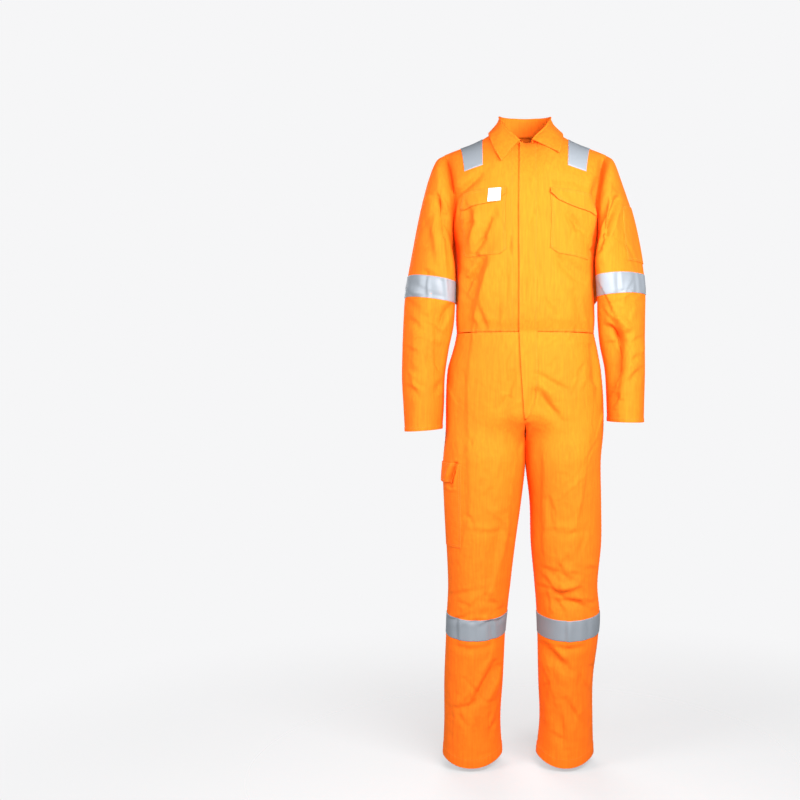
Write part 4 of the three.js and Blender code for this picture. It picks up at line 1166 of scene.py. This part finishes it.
def collar_stations():
    """The neckline, the fold and the leaf's edge at each station, from the right end to the left."""
    found = []
    for side, sign in (("right", -1), ("left", 1)):
        rows = []
        for face, u, fold, edge, bulge in COLLAR[side]:
            neck = bodice(face, np.array([u]), np.array([2.0]))[0]
            rows.append([*(np.array(place) * (sign, 1, 1) for place in (neck, fold, edge)), bulge])
        found.append(rows)
    return found[0] + found[1][::-1][1:]


stations = collar_stations()
at = np.linspace(0, len(stations) - 1, COLLAR_COLUMNS)
neck, fold, leaf_edge = (smooth(np.array([row[k] for row in stations], float), at) for k in range(3))
bulge = smooth(np.array([row[3] for row in stations], float), at)[:, None]
outward = fold * (1, 1, 0) / np.linalg.norm(fold[:, :2], axis=1, keepdims=True)

collar_rows = [mix(neck, fold, share) for share in np.linspace(0, STAND_SHARE, COLLAR_ROWS["stand"])]
for angle in np.linspace(0, math.pi, COLLAR_ROWS["roll"]):
    collar_rows.append(fold + COLLAR_ROLL * ((1 - math.cos(angle)) * outward + math.sin(angle) * UP))
for share in np.linspace(LEAF_START, 1, COLLAR_ROWS["leaf"]):
    rounding = bulge * math.sin(math.pi * math.sqrt(share))
    start = fold + 2 * COLLAR_ROLL * (1 - share) * outward
    collar_rows.append(mix(start, leaf_edge, share) + outward * rounding)
points = np.array(collar_rows)
normals = grid_normals(points)
if normals[-4, COLLAR_COLUMNS // 2, 1] < 0:
    normals = -normals
top = points + COLLAR_HALF_CLOTH * normals
piece = shell("collar", top, points - COLLAR_HALF_CLOTH * normals, TWILL)
sew("orange", top, normals, [("start", 4, 0.55, 1), ("end", 4, 0.55, 1), ("last", 4, 0, 1)])
declare(piece, points, "collar_stand", "collar_leaf", held="folded")

# %% [markdown]
# ## Placket and zip
#
# A strip of cloth covers the zip from the neck to the fly's end, where it is cut to a curve. It could be
# a straight strip laid over the front, but it would float above the folds. A piece that is sewn on takes
# its grid from the panel under it and lies a little above. Its edges are folded in, so they are round,
# and they sit deeper than its middle. The zip lies behind the placket and is a plain strip.

# %%
GAP = 0.3
LAYER = 1.4
TURNED_EDGE = 1.6  # width over which a folded edge rounds off
EDGE_SHARE = 0.4  # how thick the cloth is at its very edge


def sewn_on(name, points, normals, low, cloth, stitches=(), material=TWILL, wrap=False, lift=None):
    away = edge_distance(points)
    border = np.min([away[edge] for edge in (("first", "last") if wrap else ALL_EDGES)], axis=0)
    rounded = np.sqrt(1 - (1 - clamp(border / TURNED_EDGE)) ** 2)
    base = np.full(border.shape, float(low)) if lift is None else low + lift(away)
    high = base + cloth * (EDGE_SHARE + (1 - EDGE_SHARE) * rounded)
    top = points + normals * high[..., None]
    under = points + normals * base[..., None]
    sew("orange" if material == TWILL else "grey", top, normals, stitches, wrap)
    return shell(name, top, under, material, wrap)


STRIP_ROWS = {"bodice": 110, "trouser": 56}
STRIP_SCALE = 380  # millimetres for each unit of u, from which a strip's grid lines are counted


def front_strip(right_u, left_u, top_v, right_taper, left_taper):
    """A grid down the centre front. The tapers give its width below the waist as shares, by height."""
    bodice_v = np.linspace(top_v, 0, STRIP_ROWS["bodice"])
    trouser_z = np.linspace(WAIST_Z, FLY_END_Z, STRIP_ROWS["trouser"])[1:]
    halves = []
    for side, width, taper in (("right", right_u, right_taper), ("left", left_u, left_taper)):
        u = np.unique(np.concatenate([[0], lines(width * STRIP_SCALE, CELL, False, True) * width]))
        upper = cloth_grid("front", side, u, bodice_v)
        lower = on_cloth("trouser", side, u / 2 * taper(trouser_z)[:, None], trouser_z[:, None])
        halves.append([np.concatenate(pair) for pair in zip(upper, lower)])
    return [np.concatenate([right[:, :0:-1], left], axis=1) for right, left in zip(*halves)]


def straight_taper(z):
    return mix(1, 0.1, (WAIST_Z - z) / (WAIST_Z - FLY_END_Z))


FLY_CURVE_TOP_Z = -562
FLY_CURVE_DEPTH = 4  # the curve reaches its tip this far below the fly's end


def curved_taper(z):
    down = clamp((FLY_CURVE_TOP_Z - z) / (FLY_CURVE_TOP_Z - FLY_END_Z - FLY_CURVE_DEPTH))
    return np.sqrt(1 - 0.97 * down**2)


PLACKET_U = {"right": 0.055, "left": 0.108}
PLACKET_LIFT = 3
PLACKET_SLOPE = 14  # its free edge stands off, and the rest comes down to the front over this width
COLLAR_GAP = 5  # the top of the placket stands up between the ends of the collar
points, normals = front_strip(PLACKET_U["right"], PLACKET_U["left"], 2, straight_taper, curved_taper)
points = np.concatenate([points[:1] + (0, 0, COLLAR_GAP), points])
normals = np.concatenate([normals[:1], normals])
thickness = mix(0.3, LAYER, ease(edge_distance(points)["end"] / PLACKET_SLOPE))
piece = sewn_on(
    "front_placket",
    points,
    normals,
    GAP,
    thickness,
    [("start", 2, 0, 1), ("end", 4, 0, 1)],
    lift=lambda away: PLACKET_LIFT * (1 - ease(away["start"] / PLACKET_SLOPE)),
)
declare(piece, points, "placket")

ZIP_U = 0.055
ZIP_TOP_V = 1.81
ZIP_DEPTH = 3.4
points, normals = front_strip(ZIP_U, ZIP_U, ZIP_TOP_V, straight_taper, straight_taper)
piece = sewn_on("zip_strip", points, normals, -ZIP_DEPTH, CLOTH, material=ZIP_CLOTH)
declare(piece, points, "zip", slot="zip_tape")

# One more row of stitches runs beside the placket on the wearer's right
BESIDE_PLACKET_U = 0.118
points, normals = on_cloth("front", "right", BESIDE_PLACKET_U, np.linspace(1.85, 0.01, 160))
SEWING["orange"].append(np.concatenate([points, normals], axis=1))

# %% [markdown]
# ## Chest pockets and patch
#
# Each pocket is a flat bag of cloth with a flap above it, and the right flap carries a small white patch.
# A pocket could be a bump on the front, but a flap that stands off throws a real shadow. The lower edges
# follow lines through a few corners. The flaps are stiffer than the front and lift towards their lower
# edges, and the wearer's left one curls up at its corner next to the placket.

# %%
SMALL_CELL = 3
POCKETS = {
    # columns, lower edge of the pocket and lower edge of the flap
    "right": (
        (0.17, 0.668),
        [(0, 0.57), (0.12, 0.535), (0.88, 0.535), (1, 0.57)],
        [(0, 0.957), (0.2, 0.9), (0.62, 0.889), (0.92, 0.874), (1, 0.9)],
    ),
    "left": (
        (0.223, 0.757),
        [(0, 0.58), (0.16, 0.543), (0.84, 0.527), (1, 0.56)],
        [(0, 0.963), (0.13, 0.918), (0.3, 0.892), (0.5, 0.877), (0.8, 0.87), (0.94, 0.86), (1, 0.862)],
    ),
}
POCKET_TOP_V = 0.952
FLAP_TOP_V = 1
FLAP_LIFT = {"height": 2.94, "over": 32}
CORNER_LIFT = {"width": 30, "more": 1.2, "height": 2.5, "over": 10}


def bodice_patch(side, u_range, top, lower_edge):
    """A grid on the front whose lower edge is a line through (share of the width, v) corners."""
    shares = lines(115, SMALL_CELL)
    bottoms = np.interp(shares, *np.array(lower_edge).T)
    rows = lines(100, SMALL_CELL)[::-1]
    u = mix(u_range[0], u_range[1], shares)
    return on_cloth("front", side, u[None, :], mix(bottoms[None, :], top, rows[:, None]))


def flap_lift(away):
    return FLAP_LIFT["height"] * ease(away["first"] / FLAP_LIFT["over"])


def flap_lift_with_corner(away):
    corner = 1 - ease(away["start"] / CORNER_LIFT["width"])
    curl = CORNER_LIFT["height"] * corner * ease(away["first"] / CORNER_LIFT["over"])
    return flap_lift(away) * (1 + CORNER_LIFT["more"] * corner) + curl


for side, (u_range, pocket_edge, flap_edge) in POCKETS.items():
    points, normals = bodice_patch(side, u_range, POCKET_TOP_V, pocket_edge)
    rows = both_rows("start", "end", "last")
    piece = sewn_on(f"chest_pocket_bag_{side}", points, normals, GAP, LAYER, rows)
    declare(piece, points, f"chest_pocket_{side}")
    points, normals = bodice_patch(side, u_range, FLAP_TOP_V, flap_edge)
    lift = flap_lift if side == "right" else flap_lift_with_corner
    rows = both_rows(*ALL_EDGES)
    piece = sewn_on(f"chest_pocket_flap_{side}", points, normals, 2 * GAP + LAYER, LAYER, rows, lift=lift)
    declare(piece, points, f"chest_flap_{side}")

PATCH_U = (0.216, 0.335)
PATCH_TOP_V = 0.995
PATCH_LOW_V = 0.904
PATCH_CLOTH = 0.8
points, normals = bodice_patch("right", PATCH_U, PATCH_TOP_V, [(0, PATCH_LOW_V), (1, PATCH_LOW_V)])
# The patch is stiffer than the twill and lies straight over its small creases
across = np.linspace(0, 1, points.shape[1])[None, :, None]
down = np.linspace(0, 1, points.shape[0])[:, None, None]
top_line = mix(points[:1, :1], points[:1, -1:], across)
points = mix(top_line, mix(points[-1:, :1], points[-1:, -1:], across), down)
piece = sewn_on(
    "plain_patch",
    points,
    normals,
    3 * GAP + 2 * LAYER,
    PATCH_CLOTH,
    [(edge, 1.5, 0, 1) for edge in ALL_EDGES],
    PATCH,
    lift=lambda away: 0.8 + 1.1 * flap_lift(away),
)
declare(piece, points, "chest_patch", slot="woven_patch", held="laid")

# %% [markdown]
# ## Reflective tape
#
# Bands of tape 50 mm wide run round both sleeves and both legs and over the shoulders. On the real
# garment they are laid on the open panels and sewn along both edges. They could be a second material on
# the panels, but then they would have no edge and no shine of their own, so each is a thin shell on the
# cloth. Round a leg the band sits a few millimetres higher at the two seams than in between.

# %%
TAPE = 0.8
TAPE_ROW = 2  # the row of stitches is this far from each edge of the tape
SLEEVE_BAND_ROWS = (5, 6)
LEG_BAND_Z = (-1144, -1193)
LEG_BAND_SAG = 6
SHOULDER_BAND_U = (0.395, 0.615)
SHOULDER_BAND_V = (1.28, 2)


def tape_band(name, points, normals, node, wrap):
    edges = ("first", "last") if wrap else ALL_EDGES
    rows = [(edge, TAPE_ROW, 0, 1) for edge in edges]
    piece = sewn_on(name, points, normals, GAP, TAPE, rows, SILVER, wrap)
    declare(piece, points, node, slot="reflective_tape", held="stretched", wrap=wrap)


for side in ("right", "left"):
    points, normals = cloth_grid("sleeve", side, sleeve_columns, mix(*SLEEVE_BAND_ROWS, lines(50, CELL)))
    tape_band(f"sleeve_band_{side}", points, normals, f"sleeve_tape_{side}", True)

    columns = np.linspace(0, 1, 121)[:-1]
    rows = mix(*LEG_BAND_Z, lines(49, CELL))[:, None] + LEG_BAND_SAG * np.cos(columns * TAU) ** 2
    points, normals = on_cloth("trouser", side, columns, rows)
    tape_band(f"leg_band_{side}", points, normals, f"leg_tape_{side}", True)

    columns = mix(*SHOULDER_BAND_U, lines(50, CELL))
    rows = np.linspace(*SHOULDER_BAND_V, 40)
    front, back = (cloth_grid(face, side, columns, rows) for face in ("front", "back"))
    points, normals = (np.concatenate([a, b[::-1][1:]]) for a, b in zip(front, back))
    normals[len(rows) - 1] += back[1][-1]
    normals /= np.linalg.norm(normals, axis=-1, keepdims=True)
    tape_band(f"shoulder_band_{side}", points, normals, f"shoulder_tape_{side}", False)

# %% [markdown]
# ## Thigh pocket and sleeve pocket
#
# A bag with a flap sits on the outside of the right thigh, and a small flat pocket on the left upper
# sleeve. They could be modelled flat and bent round the limb, but the panel's own grid already goes
# round it. The flap's front edge slants back from its top, and the flap stands off at its lower edge.

# %%
THIGH_U = (0.334, 0.6215)
THIGH_BAG_Z = (-782, -978)
THIGH_FLAP_Z = (CROTCH_Z, -826)
FLAP_FRONT_U = (0.348, 0.372)
THIGH_FLAP_LIFT = {"height": 3, "over": 45}
THIN_LAYER = 0.8
SLEEVE_POCKET_U = (0.4, 0.6)
SLEEVE_POCKET_ROWS = (2.8, 4.6)

columns = mix(*THIGH_U, lines(140, SMALL_CELL))
points, normals = cloth_grid("trouser", "right", columns, mix(*THIGH_BAG_Z, lines(196, SMALL_CELL)))
piece = sewn_on("thigh_pocket_bag", points, normals, GAP, THIN_LAYER, both_rows("start", "end", "last"))
declare(piece, points, "thigh_pocket")

down = lines(46, SMALL_CELL)
u = mix(mix(*FLAP_FRONT_U, down)[:, None], THIGH_U[1], lines(135, SMALL_CELL)[None, :])
points, normals = on_cloth("trouser", "right", u, mix(*THIGH_FLAP_Z, down)[:, None])
piece = sewn_on(
    "thigh_pocket_flap",
    points,
    normals,
    2 * GAP + THIN_LAYER,
    LAYER,
    both_rows(*ALL_EDGES),
    lift=lambda away: THIGH_FLAP_LIFT["height"] * ease(away["first"] / THIGH_FLAP_LIFT["over"]),
)
declare(piece, points, "thigh_flap")

columns = mix(*SLEEVE_POCKET_U, lines(80, SMALL_CELL))
points, normals = cloth_grid("sleeve", "left", columns, mix(*SLEEVE_POCKET_ROWS, lines(110, SMALL_CELL)))
piece = sewn_on("sleeve_pocket_bag", points, normals, GAP, LAYER, both_rows(*ALL_EDGES))
declare(piece, points, "sleeve_pocket")

# %% [markdown]
# ## Stitches
#
# Every row of stitches was kept as a line on the cloth while its piece was made. A dashed texture could
# stand for them, but it would have no height. Here each line is divided into stitches, and Geometry Nodes
# put one short bead of thread at each place, turned along the row. Real stitches are about 3 mm apart and
# would be too fine to see, so they are drawn a little longer and thicker.

# %%
STITCH_PITCH = 4.2
STITCH_LENGTH = 3.3
THREAD = 0.75
STITCH_SEED = 5
SHORTEST = 0.85  # the share of the full length that a stitch has at least
LOOK_AHEAD = 0.5


def lanes_at(line, far, at):
    return np.array([np.interp(at, far, lane) for lane in line.T]).T


def stitch_places(line):
    """The middle, the direction out of the cloth and the direction along the row of each stitch."""
    far = np.concatenate([[0], np.cumsum(np.linalg.norm(np.diff(line[:, :3], axis=0), axis=1))])
    at = np.arange(STITCH_PITCH / 2, far[-1], STITCH_PITCH)
    ahead = lanes_at(line[:, :3], far, at + LOOK_AHEAD) - lanes_at(line[:, :3], far, at - LOOK_AHEAD)
    return np.concatenate([lanes_at(line, far, at), ahead], axis=1)


def stitch_nodes(thread):
    tree = bpy.data.node_groups.new("stitches", "GeometryNodeTree")
    sockets = {"Geometry": "Geometry", "Stitch length": "Float", "Thread": "Float", "Seed": "Int"}
    for name, kind in sockets.items():
        tree.interface.new_socket(name, in_out="INPUT", socket_type="NodeSocket" + kind)
    tree.interface.new_socket("Geometry", in_out="OUTPUT", socket_type="NodeSocketGeometry")
    given = add_node(tree, "NodeGroupInput").outputs
    uneven = add_node(tree, "FunctionNodeRandomValue", {"Seed": given["Seed"], 2: SHORTEST, 3: 1.0})
    length = {0: given["Stitch length"], 1: uneven.outputs[1]}
    longer = add_node(tree, "ShaderNodeMath", length, operation="MULTIPLY")
    sizes = {"X": longer.outputs["Value"], "Y": given["Thread"], "Z": given["Thread"]}
    size = add_node(tree, "ShaderNodeCombineXYZ", sizes)
    bead = add_node(tree, "GeometryNodeMeshIcoSphere", {"Radius": 0.5, "Subdivisions": 1})
    along = add_node(tree, "GeometryNodeInputNamedAttribute", {"Name": "along"}, data_type="FLOAT_VECTOR")
    out = add_node(tree, "GeometryNodeInputNamedAttribute", {"Name": "out"}, data_type="FLOAT_VECTOR")
    axes = {"Primary Axis": along.outputs["Attribute"], "Secondary Axis": out.outputs["Attribute"]}
    turn = add_node(tree, "FunctionNodeAxesToRotation", axes, primary_axis="X", secondary_axis="Z")
    beads = {
        "Points": given["Geometry"],
        "Instance": bead.outputs["Mesh"],
        "Rotation": turn.outputs["Rotation"],
        "Scale": size.outputs["Vector"],
    }
    laid = add_node(tree, "GeometryNodeInstanceOnPoints", beads)
    real = add_node(tree, "GeometryNodeRealizeInstances", {"Geometry": laid.outputs["Instances"]})
    smoothed = add_node(tree, "GeometryNodeSetShadeSmooth", {"Geometry": real.outputs["Geometry"]})
    paint = {"Geometry": smoothed.outputs["Geometry"], "Material": thread}
    painted = add_node(tree, "GeometryNodeSetMaterial", paint)
    add_node(tree, "NodeGroupOutput", {"Geometry": painted.outputs["Geometry"]})
    return tree


def sewn_thread(name, lines_on_cloth, thread):
    places = np.concatenate([stitch_places(line) for line in lines_on_cloth])
    mesh = bpy.data.meshes.new(name)
    mesh.from_pydata((places[:, :3] * MM).tolist(), [], [])
    for attribute, columns in (("out", slice(3, 6)), ("along", slice(6, 9))):
        layer = mesh.attributes.new(attribute, "FLOAT_VECTOR", "POINT")
        layer.data.foreach_set("vector", places[:, columns].astype(np.float32).ravel())
    piece = bpy.data.objects.new(name, mesh)
    bpy.context.scene.collection.objects.link(piece)
    modifier = piece.modifiers.new("stitches", "NODES")
    modifier.node_group = stitch_nodes(thread)
    sizes = {"Stitch length": STITCH_LENGTH * MM, "Thread": THREAD * MM, "Seed": STITCH_SEED}
    for socket in modifier.node_group.interface.items_tree:
        if socket.in_out == "INPUT" and socket.name in sizes:
            modifier[socket.identifier] = sizes[socket.name]
    seen = piece.evaluated_get(bpy.context.evaluated_depsgraph_get())
    piece.data = bpy.data.meshes.new_from_object(seen)
    piece.modifiers.remove(modifier)
    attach(piece, "root")
    print(f"{name}: {len(places)} stitches, {len(piece.data.polygons)} faces")


sewn_thread("stitches_on_cloth", SEWING["orange"], ORANGE_THREAD)
sewn_thread("stitches_on_tape", SEWING["grey"], GREY_THREAD)

# %% [markdown]
# ## Light
#
# In the picture the chest is brightest, the hems are darker and redder, and the sides turn dark. The
# cloth's colour could be painted darker there, but then it would be wrong from every other side. One
# soft lamp close to the chest does it, as its light falls off with the distance. A weaker lamp behind
# lights the back. The lamps are hidden from the camera, and the world shows it a pale backdrop but gives
# less light than that.

# %%
def soft_lamp(name, place, aim, size, power):
    lamp = bpy.data.lights.new(name, "AREA")
    lamp.shape = "RECTANGLE"
    lamp.size, lamp.size_y = size
    lamp.energy = power
    holder = bpy.data.objects.new(name, lamp)
    holder.location = place
    x, y, z = (a - b for a, b in zip(aim, place))
    holder.rotation_euler = (math.atan2(math.hypot(x, y), -z), 0, math.atan2(y, x) - math.pi / 2)
    holder.visible_camera = False
    bpy.context.scene.collection.objects.link(holder)


# Place, what it is aimed at and size in metres, and power in watts
soft_lamp("chest lamp", (0.55, -1.25, -0.12), (0, 0, -0.34), (1.3, 0.5), 57)
soft_lamp("front lamp", (0.2, -3.2, -0.3), (0, 0, -0.5), (1.2, 1.4), 3)
soft_lamp("side lamp", (-1.4, -1, -0.2), (0, 0, -0.55), (0.8, 0.8), 25)
soft_lamp("back lamp", (-0.5, 1.9, -0.1), (0, 0, -0.6), (1.2, 1.2), 36)

BACKDROP = "#F6F6F7"
AMBIENT = {"Color": srgb("#F4F6FA"), "Strength": 0.26}
world = bpy.data.worlds.new("studio")
world.use_nodes = True
tree = world.node_tree
shown = tree.nodes["Background"]
set_inputs(tree, shown, {"Color": srgb(BACKDROP)})
ambient = add_node(tree, "ShaderNodeBackground", AMBIENT)
ray = add_node(tree, "ShaderNodeLightPath")
dim, bright = ambient.outputs["Background"], shown.outputs["Background"]
choice = add_node(tree, "ShaderNodeMixShader", {0: ray.outputs["Is Camera Ray"], 1: dim, 2: bright})
set_inputs(tree, tree.nodes["World Output"], {"Surface": choice.outputs["Shader"]})
bpy.context.scene.world = world
bpy.context.scene.view_settings.view_transform = "Standard"

# %% [markdown]
# ## Floor and camera
#
# The suit is shown on a pale studio sweep, where floor and backdrop run into each other. A bent sheet of
# paper could be modelled, but it would have to be lit evenly. A round floor that fades out at its rim
# shows the soft shadows under the hems and leaves the rest to the world. The camera stands level, a
# little below the waist, with a normal lens, and its shift moves the suit to the right of the frame.

# %%
FLOOR_Z = -1.5
FLOOR_RADIUS = 3.2
FLOOR_SIDES = 64
FLOOR_FADE = {"From Min": 0.3, "From Max": 1.6, "To Min": 0.45, "To Max": 0.0}

angles = np.linspace(0, TAU, FLOOR_SIDES + 1)[:-1]
ring = [(FLOOR_RADIUS * math.cos(a), FLOOR_RADIUS * math.sin(a), FLOOR_Z) for a in angles]
floor_mesh = bpy.data.meshes.new("floor")
floor_mesh.from_pydata(ring, [], [tuple(range(FLOOR_SIDES))])
floor = bpy.data.objects.new("floor", floor_mesh)
bpy.context.scene.collection.objects.link(floor)
# Matt paint on a studio floor: no gloss, and it melts into the backdrop away from the suit
floor_paint, tree, shader = new_material("pale matt studio floor")
place = add_node(tree, "ShaderNodeTexCoord")
level = {0: place.outputs["Object"], 1: (1, 1, 0)}
away = add_node(tree, "ShaderNodeVectorMath", level, operation="MULTIPLY")
radius = add_node(tree, "ShaderNodeVectorMath", {0: away.outputs["Vector"]}, operation="LENGTH")
fading = {"Value": radius.outputs["Value"], **FLOOR_FADE}
fade = add_node(tree, "ShaderNodeMapRange", fading, interpolation_type="SMOOTHSTEP")
paint = {"Base Color": srgb("#C4C4C4"), "Roughness": 0.9, "Alpha": fade.outputs["Result"]}
set_inputs(tree, shader, paint)
floor_mesh.materials.append(floor_paint)

LENS_MM = 50
SENSOR_MM = 36
CAMERA_SHIFT = {"x": -0.154, "y": -0.025}
CAMERA_PLACE = (-0.005, -2.667, -0.586)
lens = bpy.data.cameras.new("camera")
lens.lens = LENS_MM
lens.sensor_width = SENSOR_MM
lens.shift_x = CAMERA_SHIFT["x"]
lens.shift_y = CAMERA_SHIFT["y"]
camera = bpy.data.objects.new("camera", lens)
camera.location = CAMERA_PLACE
camera.rotation_euler = (math.pi / 2, 0, 0)
bpy.context.scene.collection.objects.link(camera)
bpy.context.scene.camera = camera
print("floor", 2 * FLOOR_RADIUS, "m wide, camera", -CAMERA_PLACE[1], "m in front")
